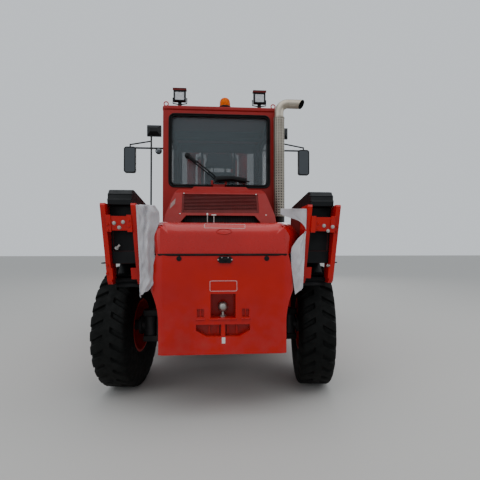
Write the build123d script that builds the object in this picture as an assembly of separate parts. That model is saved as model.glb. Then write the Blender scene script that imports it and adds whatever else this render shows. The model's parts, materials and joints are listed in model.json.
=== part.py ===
"""A heavy diesel forklift of the 25 tonne class, in millimetres.

+X is the machine's right side, +Y is forwards to the fork tips and +Z is up. The origin is on
the floor under the middle of the machine. Each sub-part is written to parts/NODE.step.
"""
import math
import os

from build123d import *

os.makedirs("parts", exist_ok=True)

# Lengths along the machine, from the counterweight's rear face to the fork tips
REAR_OVERHANG = 980.0       # counterweight's rear face to the rear axle
WHEELBASE = 3750.0
FORK_FACE_REACH = 850.0     # front axle to the forks' upright face
FORK_LENGTH = 2440.0
Y_TAIL = -(REAR_OVERHANG + WHEELBASE + FORK_FACE_REACH + FORK_LENGTH) / 2
Y_REAR_AXLE = Y_TAIL + REAR_OVERHANG
Y_FRONT_AXLE = Y_REAR_AXLE + WHEELBASE
Y_FORK_FACE = Y_FRONT_AXLE + FORK_FACE_REACH

# Tyres, rims and tracks
TYRE_DIAMETER = 1370.0
TYRE_WIDTH = 385.0
TYRE_FACETS = 36
BEAD_RADIUS = 330.0
WALL_RADIUS = 510.0         # where the side wall is widest
SHOULDER_DROP = 45.0        # tread to shoulder
RIM_RADIUS = 305.0
RIM_WALL = 22.0
REAR_TRACK = 2160.0
FRONT_WIDTH = 3050.0        # over the outer front tyres
DUAL_GAP = 30.0
Z_AXLE = TYRE_DIAMETER / 2
X_REAR_TYRE = REAR_TRACK / 2
X_OUTER_TYRE = FRONT_WIDTH / 2 - TYRE_WIDTH / 2
X_INNER_TYRE = X_OUTER_TYRE - TYRE_WIDTH - DUAL_GAP
X_DUAL_INNER_FACE = X_INNER_TYRE - TYRE_WIDTH / 2

# Fits and clearances
SEAT_GAP = 0.3              # between pieces that are bolted or hung, but are not one solid
SHAFT_FIT = 0.05            # radial, a shaft in its own bearing
MOVING_GAP = 6.0            # between pieces that pass each other

# Steering
X_KINGPIN = 830.0
STEER_ARCH_RADIUS = 842.0   # clear of the tyre's shoulder at full lock
STEER_ARCH_TOP = 1400.0
STEER_BEAM_TOP = 950.0
STEER_PARKED = -7.0         # degrees; the truck stands with its rear wheels turned a little

# Tail
WEIGHT_BOTTOM = 600.0
WEIGHT_TOP = 1528.0
WEIGHT_HALF_LOW = 600.0     # below the arches in its sides
WEIGHT_HALF = 680.0
WEIGHT_HALF_TOP = 626.0
CORNER_DEPTH = 100.0        # of the rounded rear corners, from the tail
CORNER_STRAIGHT = 430.0
SIDE_ARCH_Z = 885.0         # where the arch in each side springs
SIDE_ARCH_RADIUS = 620.0
TOW_RECESS = (936.0, 1162.0)                # lowest and highest point
TOW_RECESS_HALF = 117.0
POCKET_X = (177.0, 243.0)
FOOT_RECESS = (766.0, 877.0)
FOOT_RECESS_HALF = 252.0
COVER_BOTTOM = WEIGHT_TOP + SEAT_GAP
COVER_RISE = 332.0          # the cover's highest point over the counterweight

# Chassis
FRAME_HALF = 435.0
FRAME_PLATE = 40.0
FRAME_BOTTOM = 520.0
FRAME_TOP = 1430.0
NECK_HALF = 280.0
NECK_BOTTOM = 960.0
Y_NECK_END = Y_REAR_AXLE - 300.0
Y_NECK_START = Y_REAR_AXLE + STEER_ARCH_RADIUS
DECK_THICKNESS = 30.0
DECK_HALF = 1250.0
DECK_TOP = FRAME_TOP + DECK_THICKNESS
Y_DECK_FRONT = Y_FRONT_AXLE - 520.0

# Cab
CAB_HALF = 800.0
CAB_WALL = 60.0
CAB_LENGTH = 1750.0
CAB_AHEAD = 800.0           # rear axle to the cab's rear wall
Y_CAB_REAR = Y_REAR_AXLE + CAB_AHEAD
Y_CAB_FRONT = Y_CAB_REAR + CAB_LENGTH
CAB_FLOOR = DECK_TOP + CAB_WALL
CAB_ROOF_BOTTOM = 3540.0
SEAT_Y = Y_CAB_REAR + 730.0
CAB_ROOF_THICKNESS = 60.0
Z_ROOF = CAB_ROOF_BOTTOM + CAB_ROOF_THICKNESS
WINDOW_HEAD = 60.0          # wall left above the windows
WINDOW_TOP = CAB_ROOF_BOTTOM - WINDOW_HEAD
REAR_WINDOW_BOTTOM = 2450.0
FRONT_WINDOW_BOTTOM = 1850.0
WINDOW_HALF = 710.0
WINDOW_CORNER = 60.0
GLASS = 8.0
DOOR_REAR = Y_CAB_REAR + 480.0
DOOR_FRONT = Y_CAB_FRONT - 130.0
DOOR_BOTTOM = DECK_TOP + 90.0
DOOR_HEAD = 70.0
DOOR_TOP = CAB_ROOF_BOTTOM - DOOR_HEAD
DOOR_WINDOW_BOTTOM = 2150.0
DOOR_GAP = 6.0
HINGE_RADIUS = 14.0
DOOR_HINGES = (2120.0, 3270.0)              # tops of the door's own hinge knuckles
Y_DOOR_HINGE = DOOR_REAR + DOOR_GAP + HINGE_RADIUS

# Engine, one plain block
ENGINE_REAR = Y_NECK_START + 208.0
ENGINE_LENGTH = 1080.0
ENGINE_FRONT = ENGINE_REAR + ENGINE_LENGTH

# Engine hood
HOOD_HALF = 700.0
HOOD_WALL = 30.0
HOOD_BOTTOM = 1900.0
HOOD_SHOULDER = 2300.0      # top of the sloping back
HOOD_TOP = 2365.0
HOOD_FRONT = Y_CAB_REAR - 15.0
HOOD_REAR = Y_REAR_AXLE + 140.0
GRILLE_HALF = 490.0
GRILLE = (2030.0, 2285.0)                   # lowest and highest point
GRILLE_SLATS = 11
LIP_BOTTOM = 1995.0         # under the grille's lip the back is open
HOOD_SLOPE = 230.0
RADIATOR_HALF = 480.0
RADIATOR_TOP = 2150.0
RADIATOR_DEPTH = 170.0
PANEL_HALF = 390.0          # the raised panel on top
PANEL_RISE = 48.0
HOOD_HINGE_RADIUS = 12.0
HOOD_HINGE_X = 480.0
HOOD_HINGE = (HOOD_FRONT, HOOD_TOP + HOOD_HINGE_RADIUS)

# Mast
MAST_SIDE_GAP = 45.0        # mast rail to the inner front tyre
MAST_HALF = X_DUAL_INNER_FACE - MAST_SIDE_GAP
MAST_BACK = Y_FRONT_AXLE + 200.0
MAST_DEPTH = 290.0
MAST_BOTTOM = 250.0
MAST_TOP = 3860.0
RAIL_PLATE = 35.0
RAIL_FLANGE = 120.0
LIFT_STROKE = 1500.0
HOUSING_RADIUS = 190.0
SADDLE_WALL = 42.0
CARRIAGE_BACK = Y_FRONT_AXLE + TYRE_DIAMETER / 2 + 20.0
CARRIAGE_PLATE = 50.0
CARRIAGE_HALF = 1250.0
FORK_THICKNESS = 110.0
FORK_WIDTH = 250.0
FORK_FLOOR_GAP = 30.0
X_FORK = 520.0

# Tilt cylinders
X_TILT = MAST_HALF - 80.0
TILT_EYE = (MAST_BACK - 60.0, 1500.0)       # Y and Z of the rod's eye on the mast
TILT_FOOT = (Y_FRONT_AXLE - 880.0, 1120.0)                # Y and Z of the barrel's pivot on the frame
TILT_BARREL_RADIUS = 75.0
TILT_ROD_RADIUS = 40.0

# Side tanks
TANK_GAP = 95.0             # tank to the tilt barrel ahead of it
TANK_FRONT = TILT_FOOT[0] - TILT_BARREL_RADIUS - TANK_GAP
TANK_BOTTOM = 480.0
TANK_WALL = 35.0
X_STEP = DECK_HALF - 240.0                  # how far in the steps reach
STEP_HEIGHTS = (600.0, 1020.0)
STEP_OPENING = 320.0

# Exhaust
X_EXHAUST = 833.0
Y_EXHAUST = Y_CAB_REAR - 100.0
EXHAUST_RADIUS = 63.0
EXHAUST_WALL = 4.0
SHIELD_RADIUS = 75.0
SHIELD_LOW = 2020.0
SHIELD_HIGH = Z_ROOF - 170.0
ELBOW_Z = Z_ROOF + 25.0
ELBOW_RADIUS = 125.0
X_MOUTH = X_EXHAUST + 385.0                 # the slanted mouth's upper edge

# Posts and mirrors
Y_POST = Y_CAB_FRONT - 90.0
X_POST = DECK_HALF - 15.0
POST_TOP = Z_ROOF - 30.0
X_MIRROR = (1510.0, 1725.0)
Z_MIRROR = (2960.0, 3440.0)

# Mudguards, stays and side boxes
FRONT_GUARD_RADIUS = 722.0
REAR_GUARD_BOTTOM = 1425.0
GUARD_SHEET = 12.0
X_REAR_GUARD = (840.0, X_REAR_TYRE + TYRE_WIDTH / 2 - 10.0)
STAY_PLATE = 46.0
STAY_BOTTOM = 1240.0
STAY_TOP = 2010.0
STAY_LEAN = 45.0 / (STAY_TOP - STAY_BOTTOM)  # the stays lean outwards with height
X_STAY_INNER = 773.0        # inner face of the inner plate at its foot
X_STAY_OUTER = 1054.0       # inner face of the outer plate at its foot
X_BOX = (X_STAY_INNER + STAY_PLATE, X_STAY_OUTER)
BOX_TOP = STAY_TOP - 10.0
BOX_REAR = Y_TAIL + 200.0
BOX_FRONT = Y_REAR_AXLE + 60.0

# Knuckles
KNUCKLE_GAP = 5.0
SPINDLE_RADIUS = 60.0

# Inner mast, lift cylinders and chains
INNER_OUTER_X = MAST_HALF - RAIL_PLATE - MOVING_GAP - 1
INNER_BACK = MAST_BACK + RAIL_PLATE + MOVING_GAP + 1
INNER_FRONT = MAST_BACK + MAST_DEPTH - RAIL_PLATE - MOVING_GAP - 1
INNER_FLANGE = 138.0
INNER_BOTTOM = MAST_BOTTOM + 30
INNER_TOP = MAST_TOP + 40
LIFT_X = 370.0
LIFT_BARREL_RADIUS = 70.0
LIFT_Y = MAST_BACK - 30 - LIFT_BARREL_RADIUS - SEAT_GAP
LIFT_ROD_RADIUS = 45.0
LIFT_FOOT = 1000.0
LIFT_NECK = MAST_TOP - 260.0
CHAIN_X = 190.0
CHAIN_WIDTH = 60.0
CHAIN_DEPTH = 30.0
CHAIN_FRONT_Y = CARRIAGE_BACK - 70.0
CHAIN_WHEEL_RADIUS = 105.0
CHAIN_WHEEL_Z = MAST_TOP - 120.0
CHAIN_REAR_Y = CHAIN_FRONT_Y - 2 * CHAIN_WHEEL_RADIUS - CHAIN_DEPTH
CHAIN_ANCHOR_Z = 2500.0
CHAIN_PITCH = 95.0
CHAIN_WAIST = 5.0           # how far a link's plates draw in between its pins

# Carriage
ROLLER_RADIUS = (INNER_FRONT - INNER_BACK) / 2 - RAIL_PLATE - SEAT_GAP
ROLLER_Y = (INNER_BACK + INNER_FRONT) / 2
ARM_OUTER = INNER_OUTER_X - INNER_FLANGE - 10
CARRIAGE_TOP = 1500.0
CARRIAGE_BOTTOM = 180.0

# Forks
FORK_TIP_THICKNESS = 24.0
FORK_TOP = CARRIAGE_TOP + 60.0


def box(x, y, z):
    """A block between (low, high) pairs."""
    size = [high - low for low, high in (x, y, z)]
    middle = [(high + low) / 2 for low, high in (x, y, z)]
    return Pos(*middle) * Box(*size)


def prism_x(outline, x_low, x_high):
    """An outline of (y, z) points drawn out along X."""
    face = Plane.YZ.offset(x_low) * make_face(Polyline(*outline, close=True))
    return extrude(face, amount=x_high - x_low, dir=(1, 0, 0))


def prism_y(outline, y_low, y_high):
    """An outline of (x, z) points drawn out along Y."""
    face = Plane.XZ.offset(-y_low) * make_face(Polyline(*outline, close=True))
    return extrude(face, amount=y_high - y_low, dir=(0, 1, 0))


def prism_z(outline, z_low, z_high):
    """An outline of (x, y) points drawn out along Z."""
    face = Plane.XY.offset(z_low) * make_face(Polyline(*outline, close=True))
    return extrude(face, amount=z_high - z_low, dir=(0, 0, 1))


def rod_x(radius, x_low, x_high, y, z):
    return Pos((x_low + x_high) / 2, y, z) * Rot(0, 90, 0) * Cylinder(radius, x_high - x_low)


def rod_y(radius, y_low, y_high, x, z):
    return Pos(x, (y_low + y_high) / 2, z) * Rot(90, 0, 0) * Cylinder(radius, y_high - y_low)


def rod_z(radius, z_low, z_high, x, y):
    return Pos(x, y, (z_low + z_high) / 2) * Cylinder(radius, z_high - z_low)


def rod_between(radius, start, end):
    """A round bar from one (x, y, z) point to another."""
    line = Edge.make_line(start, end)
    return extrude(Plane(origin=start, z_dir=line.tangent_at(0)) * Circle(radius), amount=line.length)


def turned(profile, facets, closed=False):
    """A round form about Z with flat facets, from (height, radius) rows measured to its flats."""
    rings = []
    for height, radius in profile:
        corner = radius / math.cos(math.pi / facets)
        angles = [2 * math.pi * (index + 0.5) / facets for index in range(facets)]
        rings.append([(corner * math.cos(angle), corner * math.sin(angle), height) for angle in angles])
    bands = list(zip(rings, rings[1:] + rings[:1] if closed else rings[1:]))
    faces = []
    for low, high in bands:
        for index in range(facets):
            after = (index + 1) % facets
            faces.append(Face(Wire.make_polygon([low[index], low[after], high[after], high[index]])))
    if not closed:
        faces += [Face(Wire.make_polygon(ring)) for ring in (rings[0], rings[-1])]
    return Solid(Shell(faces))


def mirrored(solid):
    """The same piece on the machine's other side."""
    return mirror(solid, about=Plane.YZ)


def both_sides(solid):
    return solid + mirrored(solid)


def save(node, shape):
    """Write one sub-part, as loose solids where it has more than one."""
    solids = shape.solids()
    result = solids[0] if len(solids) == 1 else Compound(solids)
    export_step(result, f"parts/{node}.step")


def make_frame():
    """Two deep side plates, a narrow neck over the steer axle and cross members."""
    seat_radius = HOUSING_RADIUS + SEAT_GAP
    y_nose = Y_FRONT_AXLE - 20
    side = prism_x([(Y_NECK_START, 720), (Y_NECK_START + 260, FRAME_BOTTOM), (y_nose - 320, FRAME_BOTTOM),
                    (y_nose - 220, 470), (y_nose, 470), (y_nose, 900), (y_nose - 250, FRAME_TOP),
                    (Y_NECK_START, FRAME_TOP)], FRAME_HALF - FRAME_PLATE, FRAME_HALF)
    side -= rod_x(seat_radius, 0, FRAME_HALF + 1, Y_FRONT_AXLE, Z_AXLE)
    foot_y, foot_z = TILT_FOOT
    bracket = prism_x([(foot_y - 120, foot_z - 140), (foot_y + 60, foot_z - 140),
                       (foot_y + 40, foot_z + 60), (foot_y - 60, foot_z + 60)],
                      FRAME_HALF, X_TILT - 40 - SEAT_GAP)
    pin = rod_x(35, X_TILT - 60, X_TILT + 60, foot_y, foot_z)
    neck_side = prism_x([(Y_NECK_END, NECK_BOTTOM), (Y_REAR_AXLE + 200, NECK_BOTTOM),
                         (Y_NECK_START, NECK_BOTTOM - 120),
                         (Y_NECK_START, FRAME_TOP), (Y_NECK_END, FRAME_TOP)],
                        NECK_HALF - FRAME_PLATE, NECK_HALF)
    neck_top = box((-NECK_HALF, NECK_HALF), (Y_NECK_END, Y_NECK_START),
                   (FRAME_TOP - 25, FRAME_TOP))
    step_plate = box((-FRAME_HALF, FRAME_HALF), (Y_NECK_START, Y_NECK_START + FRAME_PLATE),
                     (720, FRAME_TOP))
    axle_seat = box((-NECK_HALF, NECK_HALF), (Y_REAR_AXLE - 130, Y_REAR_AXLE + 130),
                    (STEER_BEAM_TOP, NECK_BOTTOM + 60))
    arm = box((-X_REAR_TYRE, X_REAR_TYRE), (Y_REAR_AXLE - 50, Y_REAR_AXLE + 50), (1385, 1425))
    cross_inner = FRAME_HALF - FRAME_PLATE
    cross_front = box((-cross_inner, cross_inner), (y_nose - 460, y_nose - 410), (FRAME_BOTTOM, 900))
    cross_mid = box((-cross_inner, cross_inner), (ENGINE_FRONT + 200, ENGINE_FRONT + 250), (FRAME_BOTTOM, 760))
    frame = both_sides(side + bracket + pin + neck_side)
    return frame + neck_top + step_plate + axle_seat + arm + cross_front + cross_mid


def steer_arches():
    """The upright drums that the rear tyres sweep when they steer."""
    drum = rod_z(STEER_ARCH_RADIUS, 0, STEER_ARCH_TOP, X_KINGPIN, Y_REAR_AXLE)
    return both_sides(drum)


def make_counterweight():
    """The cast tail block, arched in its sides and hollowed by the steering wheels' sweep."""
    arch_x = WEIGHT_HALF_LOW + SIDE_ARCH_RADIUS
    outline = [(WEIGHT_HALF, WEIGHT_BOTTOM), (WEIGHT_HALF, WEIGHT_TOP - 328),
               (WEIGHT_HALF - 8, WEIGHT_TOP - 178), (WEIGHT_HALF_TOP, WEIGHT_TOP)]
    outline += [(-x, z) for x, z in reversed(outline)]
    block = prism_y(outline, Y_TAIL, Y_NECK_END)
    arch = rod_y(SIDE_ARCH_RADIUS, Y_TAIL - 1, Y_NECK_END + 1, arch_x, SIDE_ARCH_Z)
    arch += box((WEIGHT_HALF_LOW, arch_x), (Y_TAIL - 1, Y_NECK_END + 1), (WEIGHT_BOTTOM - 1, SIDE_ARCH_Z))
    block -= both_sides(arch)
    block &= plan_corners(WEIGHT_BOTTOM, WEIGHT_TOP)
    block -= steer_arches()
    recess = box((-TOW_RECESS_HALF, TOW_RECESS_HALF), (Y_TAIL - 1, Y_TAIL + 170), TOW_RECESS)
    pockets = both_sides(box(POCKET_X, (Y_TAIL - 1, Y_TAIL + 25), (TOW_RECESS[0] + 10, TOW_RECESS[0] + 86)))
    low, high, half = FOOT_RECESS[0], FOOT_RECESS[1], FOOT_RECESS_HALF
    middle = (low + high) / 2
    foot = prism_y([(-half, high), (half, high), (half, middle), (0.6 * half, low), (-0.6 * half, low),
                    (-half, middle)], Y_TAIL - 1, Y_TAIL + 80)
    rib = box((-19, 19), (Y_TAIL + 5, Y_TAIL + 80), (low, high))
    return block - recess - pockets - foot + rib


def plan_corners(z_low, z_high):
    """The tail's plan with its two rounded rear corners, as a tall block to cut others with."""
    straight, side, depth = CORNER_STRAIGHT, WEIGHT_HALF + 20, CORNER_DEPTH
    bend = (0.92 * side, Y_TAIL + 0.42 * depth)
    plan = make_face([ThreePointArc((-side, Y_TAIL + depth), (-bend[0], bend[1]), (-straight, Y_TAIL)),
                      Line((-straight, Y_TAIL), (straight, Y_TAIL)),
                      ThreePointArc((straight, Y_TAIL), bend, (side, Y_TAIL + depth)),
                      Polyline((side, Y_TAIL + depth), (side, 0), (-side, 0), (-side, Y_TAIL + depth))])
    return Pos(0, 0, z_low - 1) * extrude(plan, amount=z_high - z_low + 2, dir=(0, 0, 1))


def tail_section(y, half_low, half_high, z_shoulder, z_top):
    """One cross-section of the tail cover: upright sides, a round shoulder and a flat top."""
    bend = ((half_low * 0.80 + half_high * 0.20), z_top - 0.30 * (z_top - z_shoulder))
    right = [Line((half_low - 12, COVER_BOTTOM), (half_low, z_shoulder)),
             ThreePointArc((half_low, z_shoulder), bend, (half_high, z_top))]
    left = [mirror(edge, about=Plane.YZ) for edge in right]
    across = [Line((-half_low + 12, COVER_BOTTOM), (half_low - 12, COVER_BOTTOM)),
              Line((-half_high, z_top), (half_high, z_top))]
    return Plane.XZ.offset(-y) * make_face(right + left + across)


def make_tail_cover():
    """The cover over the counterweight, wider and higher towards the cab."""
    cover_end = Y_REAR_AXLE + 130 - Y_TAIL
    cover_top = WEIGHT_TOP + COVER_RISE
    # distance from the tail, half width, half width of the flat top, shoulder and top below the highest point
    sections = [(10, 622, 430, 170, 48), (130, 690, 500, 170, 24), (430, 815, 590, 170, 8),
                (cover_end, 820, 600, 160, 0)]
    cover = loft([tail_section(Y_TAIL + distance, half, half_top, cover_top - shoulder, cover_top - top)
                  for distance, half, half_top, shoulder, top in sections], ruled=True)
    ahead = box((-DECK_HALF, DECK_HALF), (Y_TAIL + CORNER_DEPTH, 0), (COVER_BOTTOM, cover_top + 1))
    cover &= plan_corners(COVER_BOTTOM, cover_top + 1) + ahead
    inside = box((-640, 640), (Y_TAIL + 400, 0), (COVER_BOTTOM - 1, cover_top - 70))
    return cover - inside


def make_side_tanks():
    """Fuel tank on the right and oil tank on the left, each with two steps in its side."""
    tank_top = FRAME_TOP - SEAT_GAP
    tank_outer = DECK_HALF - 20
    tank = prism_y([(FRAME_HALF + 20, tank_top), (tank_outer, tank_top), (tank_outer, TANK_BOTTOM + 80),
                    (tank_outer - 80, TANK_BOTTOM), (FRAME_HALF + 20, TANK_BOTTOM)],
                   Y_NECK_START + 60, TANK_FRONT)
    wall = TANK_WALL
    y_rear = Y_NECK_START + 60
    step_rear, step_front = TANK_FRONT - 820, TANK_FRONT - 320
    for z_step in STEP_HEIGHTS:
        tank -= box((X_STEP, tank_outer + 1), (step_rear, step_front), (z_step, z_step + STEP_OPENING))
    hollows = (
        # x low, x high, y low, y high
        (FRAME_HALF, X_STEP - wall, y_rear + wall, TANK_FRONT - wall),
        (X_STEP - wall - 1, tank_outer - 80, y_rear + wall, step_rear - wall),
        (X_STEP - wall - 1, tank_outer - 80, step_front + wall, TANK_FRONT - wall),
    )
    for x_low, x_high, y_low, y_high in hollows:
        tank -= box((x_low, x_high), (y_low, y_high), (TANK_BOTTOM + wall, FRAME_TOP - wall))
    return both_sides(tank)


def make_deck():
    deck = box((-DECK_HALF, DECK_HALF), (Y_CAB_REAR, Y_DECK_FRONT), (FRAME_TOP, DECK_TOP))
    return deck


def rounded_window(half, low, high, depth, centre=(0, 0, 0)):
    """A window opening with round corners, standing across Y."""
    face = Plane.XZ * RectangleRounded(2 * half, high - low, WINDOW_CORNER)
    cut = extrude(face, amount=depth / 2, both=True)
    return Pos(centre[0], centre[1], (low + high) / 2) * cut


def side_window(front, rear, low, high, depth, x):
    """A window opening with round corners, standing across X."""
    face = Plane.YZ * RectangleRounded(front - rear, high - low, WINDOW_CORNER)
    cut = extrude(face, amount=depth / 2, both=True)
    return Pos(x, (front + rear) / 2, (low + high) / 2) * cut


def make_cab_floor():
    return box((-CAB_HALF, CAB_HALF), (Y_CAB_REAR, Y_CAB_FRONT), (DECK_TOP, CAB_FLOOR))


def make_cab_rear_wall():
    """The rear panel round its window, with the knuckles that the engine hood hangs on."""
    wall = box((-CAB_HALF, CAB_HALF), (Y_CAB_REAR, Y_CAB_REAR + CAB_WALL), (CAB_FLOOR, CAB_ROOF_BOTTOM))
    wall -= rounded_window(WINDOW_HALF, REAR_WINDOW_BOTTOM, WINDOW_TOP, 2 * CAB_WALL,
                           (0, Y_CAB_REAR + CAB_WALL / 2, 0))
    knuckle = rod_x(HOOD_HINGE_RADIUS, HOOD_HINGE_X + SEAT_GAP, HOOD_HINGE_X + 60, *HOOD_HINGE)
    knuckle += box((HOOD_HINGE_X + SEAT_GAP, HOOD_HINGE_X + 60), (HOOD_HINGE[0], Y_CAB_REAR),
                   (HOOD_HINGE[1] - 10, HOOD_HINGE[1] + 10))
    return wall + both_sides(knuckle)


def make_cab_front_wall():
    wall = box((-CAB_HALF, CAB_HALF), (Y_CAB_FRONT - CAB_WALL, Y_CAB_FRONT), (CAB_FLOOR, CAB_ROOF_BOTTOM))
    return wall - rounded_window(WINDOW_HALF, FRONT_WINDOW_BOTTOM, WINDOW_TOP, 2 * CAB_WALL,
                                 (0, Y_CAB_FRONT - CAB_WALL / 2, 0))


def make_cab_sides():
    """Side panels: a window behind the door, the door's opening and its hinge knuckles."""
    x_middle = CAB_HALF - CAB_WALL / 2
    wall = box((CAB_HALF - CAB_WALL, CAB_HALF), (Y_CAB_REAR + CAB_WALL, Y_CAB_FRONT - CAB_WALL),
               (CAB_FLOOR, CAB_ROOF_BOTTOM))
    wall -= side_window(DOOR_REAR - 70, Y_CAB_REAR + 90, REAR_WINDOW_BOTTOM, WINDOW_TOP,
                        2 * CAB_WALL, x_middle)
    wall -= box((CAB_HALF - 2 * CAB_WALL, CAB_HALF + CAB_WALL), (DOOR_REAR, DOOR_FRONT),
                (DOOR_BOTTOM, DOOR_TOP))
    for z_hinge in DOOR_HINGES:
        low = z_hinge + SEAT_GAP
        high = low + 50
        knuckle = rod_z(HINGE_RADIUS, low, high, CAB_HALF + HINGE_RADIUS, Y_DOOR_HINGE)
        knuckle += box((CAB_HALF, CAB_HALF + 24), (Y_DOOR_HINGE - 80, Y_DOOR_HINGE), (low, high))
        knuckle -= box((CAB_HALF - 1, CAB_HALF + 2), (Y_DOOR_HINGE - 19, Y_DOOR_HINGE + 20), (low - 1, high + 1))
        wall += knuckle
    return both_sides(wall)


def make_cab_glass():
    wall_middle = CAB_WALL / 2
    rear = rounded_window(WINDOW_HALF, REAR_WINDOW_BOTTOM, WINDOW_TOP, GLASS,
                          (0, Y_CAB_REAR + wall_middle, 0))
    front = rounded_window(WINDOW_HALF, FRONT_WINDOW_BOTTOM, WINDOW_TOP, GLASS,
                           (0, Y_CAB_FRONT - wall_middle, 0))
    glass = rear + front
    for side in (-1, 1):
        x_wall = side * (CAB_HALF - wall_middle)
        glass += side_window(DOOR_REAR - 70, Y_CAB_REAR + 90, REAR_WINDOW_BOTTOM, WINDOW_TOP,
                             GLASS, x_wall)
    return glass


def make_cab_roof():
    roof = box((-CAB_HALF - 12, CAB_HALF + 12), (Y_CAB_REAR - 12, Y_CAB_FRONT + 60),
               (CAB_ROOF_BOTTOM, Z_ROOF))
    return fillet(roof.edges().filter_by(Axis.Z), 60)


def make_door(side):
    """One door, hung at its rear edge, with its window cut."""
    x_low = CAB_HALF - CAB_WALL
    door = box((x_low, CAB_HALF), (DOOR_REAR + DOOR_GAP, DOOR_FRONT - DOOR_GAP),
               (DOOR_BOTTOM + DOOR_GAP, DOOR_TOP - DOOR_GAP))
    door -= side_window(DOOR_FRONT - 90, DOOR_REAR + 90, DOOR_WINDOW_BOTTOM, DOOR_TOP - 80,
                        4 * CAB_WALL, CAB_HALF)
    handle = box((CAB_HALF, CAB_HALF + 35), (DOOR_FRONT - 220, DOOR_FRONT - 80),
                 (DOOR_WINDOW_BOTTOM - 90, DOOR_WINDOW_BOTTOM - 55))
    for z_hinge in DOOR_HINGES:
        door += rod_z(HINGE_RADIUS, z_hinge - 120, z_hinge, CAB_HALF + HINGE_RADIUS, Y_DOOR_HINGE)
        door += box((CAB_HALF - 1, CAB_HALF + HINGE_RADIUS), (Y_DOOR_HINGE, Y_DOOR_HINGE + 70),
                    (z_hinge - 120, z_hinge))
    door += handle
    return door if side > 0 else mirrored(door)


def make_door_glass(side):
    glass = side_window(DOOR_FRONT - 90, DOOR_REAR + 90, DOOR_WINDOW_BOTTOM, DOOR_TOP - 80,
                        GLASS, CAB_HALF - CAB_WALL / 2)
    return glass if side > 0 else mirrored(glass)


def make_seat():
    base = box((-190, 190), (SEAT_Y - 200, SEAT_Y + 200), (CAB_FLOOR, CAB_FLOOR + 380))
    cushion = box((-260, 260), (SEAT_Y - 250, SEAT_Y + 260), (CAB_FLOOR + 380, CAB_FLOOR + 500))
    back = prism_x([(SEAT_Y - 250, CAB_FLOOR + 500), (SEAT_Y - 130, CAB_FLOOR + 500),
                    (SEAT_Y - 230, CAB_FLOOR + 1260), (SEAT_Y - 330, CAB_FLOOR + 1260)], -230, 230)
    return base + cushion + back


def make_steering_column():
    console = box((-330, 330), (Y_CAB_FRONT - CAB_WALL - 260, Y_CAB_FRONT - CAB_WALL),
                  (CAB_FLOOR, CAB_FLOOR + 620))
    hub = (0, SEAT_Y + 420, CAB_FLOOR + 860)
    column = rod_between(35, (0, Y_CAB_FRONT - CAB_WALL - 200, CAB_FLOOR + 560), hub)
    rim = turned([(-14, 172), (0, 164), (14, 172), (14, 190), (0, 198), (-14, 190)], 24, closed=True)
    wheel = Pos(*hub) * Rot(-25, 0, 0) * rim
    spoke = Pos(*hub) * Rot(-25, 0, 0) * Box(360, 40, 16)
    return console + column + wheel + spoke


def make_hood_base():
    """The fixed sides of the engine bay under the hood."""
    side = box((HOOD_HALF - HOOD_WALL, HOOD_HALF), (HOOD_REAR + SEAT_GAP, HOOD_FRONT),
               (FRAME_TOP, HOOD_BOTTOM - MOVING_GAP))
    floor = box((-HOOD_HALF, HOOD_HALF), (HOOD_REAR + SEAT_GAP, HOOD_FRONT),
                (FRAME_TOP, FRAME_TOP + 12))
    return both_sides(side) + floor


def hood_form(inset, below, ahead):
    """The hood's outer form, or the hollow inside it: its cross-section cut by its side view."""
    # half width, height
    rows = [(HOOD_HALF, HOOD_BOTTOM - below), (HOOD_HALF - 8, 2000), (610, 2255), (574, HOOD_TOP - 22),
            (548, HOOD_TOP)]
    right = [(half - inset, min(z, HOOD_TOP - inset)) for half, z in rows]
    section = right + [(-x, z) for x, z in reversed(right)]
    rear = HOOD_REAR + 20 + inset
    slope = HOOD_REAR + HOOD_SLOPE + inset
    side = [(HOOD_FRONT + ahead, HOOD_BOTTOM - below), (rear, HOOD_BOTTOM - below),
            (slope, HOOD_SHOULDER - inset / 2), (slope + 110, HOOD_TOP - inset),
            (HOOD_FRONT + ahead, HOOD_TOP - inset)]
    return prism_y(section, HOOD_REAR, HOOD_FRONT + ahead) & prism_x(side, -HOOD_HALF, HOOD_HALF)


def make_engine_hood():
    """The lifting hood: tapered cheeks, a raised panel on top and a back open for the grille."""
    hood = hood_form(0, 0, 0) - hood_form(HOOD_WALL, 1, 1)
    y_back = (HOOD_REAR - 100, HOOD_REAR + 350)
    hood -= box((-GRILLE_HALF, GRILLE_HALF), y_back, GRILLE)
    hood -= prism_y([(-430, LIP_BOTTOM), (430, LIP_BOTTOM), (505, HOOD_BOTTOM - 1), (-505, HOOD_BOTTOM - 1)], *y_back)
    front, rear = HOOD_FRONT - 60, HOOD_REAR + HOOD_SLOPE + 130
    raised = prism_x([(front, HOOD_TOP), (rear, HOOD_TOP), (rear + 50, HOOD_TOP + PANEL_RISE),
                      (front, HOOD_TOP + PANEL_RISE)], -PANEL_HALF, PANEL_HALF)
    taper = prism_y([(-PANEL_HALF, HOOD_TOP - 1), (PANEL_HALF, HOOD_TOP - 1),
                     (PANEL_HALF - 40, HOOD_TOP + PANEL_RISE), (-PANEL_HALF + 40, HOOD_TOP + PANEL_RISE)],
                    HOOD_REAR, HOOD_FRONT)
    hood_knuckle = rod_x(HOOD_HINGE_RADIUS, HOOD_HINGE_X - 70, HOOD_HINGE_X, *HOOD_HINGE)
    hood_knuckle += box((HOOD_HINGE_X - 70, HOOD_HINGE_X), (HOOD_HINGE[0] - 30, HOOD_HINGE[0]),
                        (HOOD_TOP, HOOD_HINGE[1]))
    return hood + (raised & taper) + both_sides(hood_knuckle)


def hood_slope_y(z):
    """Where the hood's sloping back lies at a height."""
    return HOOD_REAR + 20 + (z - HOOD_BOTTOM) * (HOOD_SLOPE - 20) / (HOOD_SHOULDER - HOOD_BOTTOM)


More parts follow.
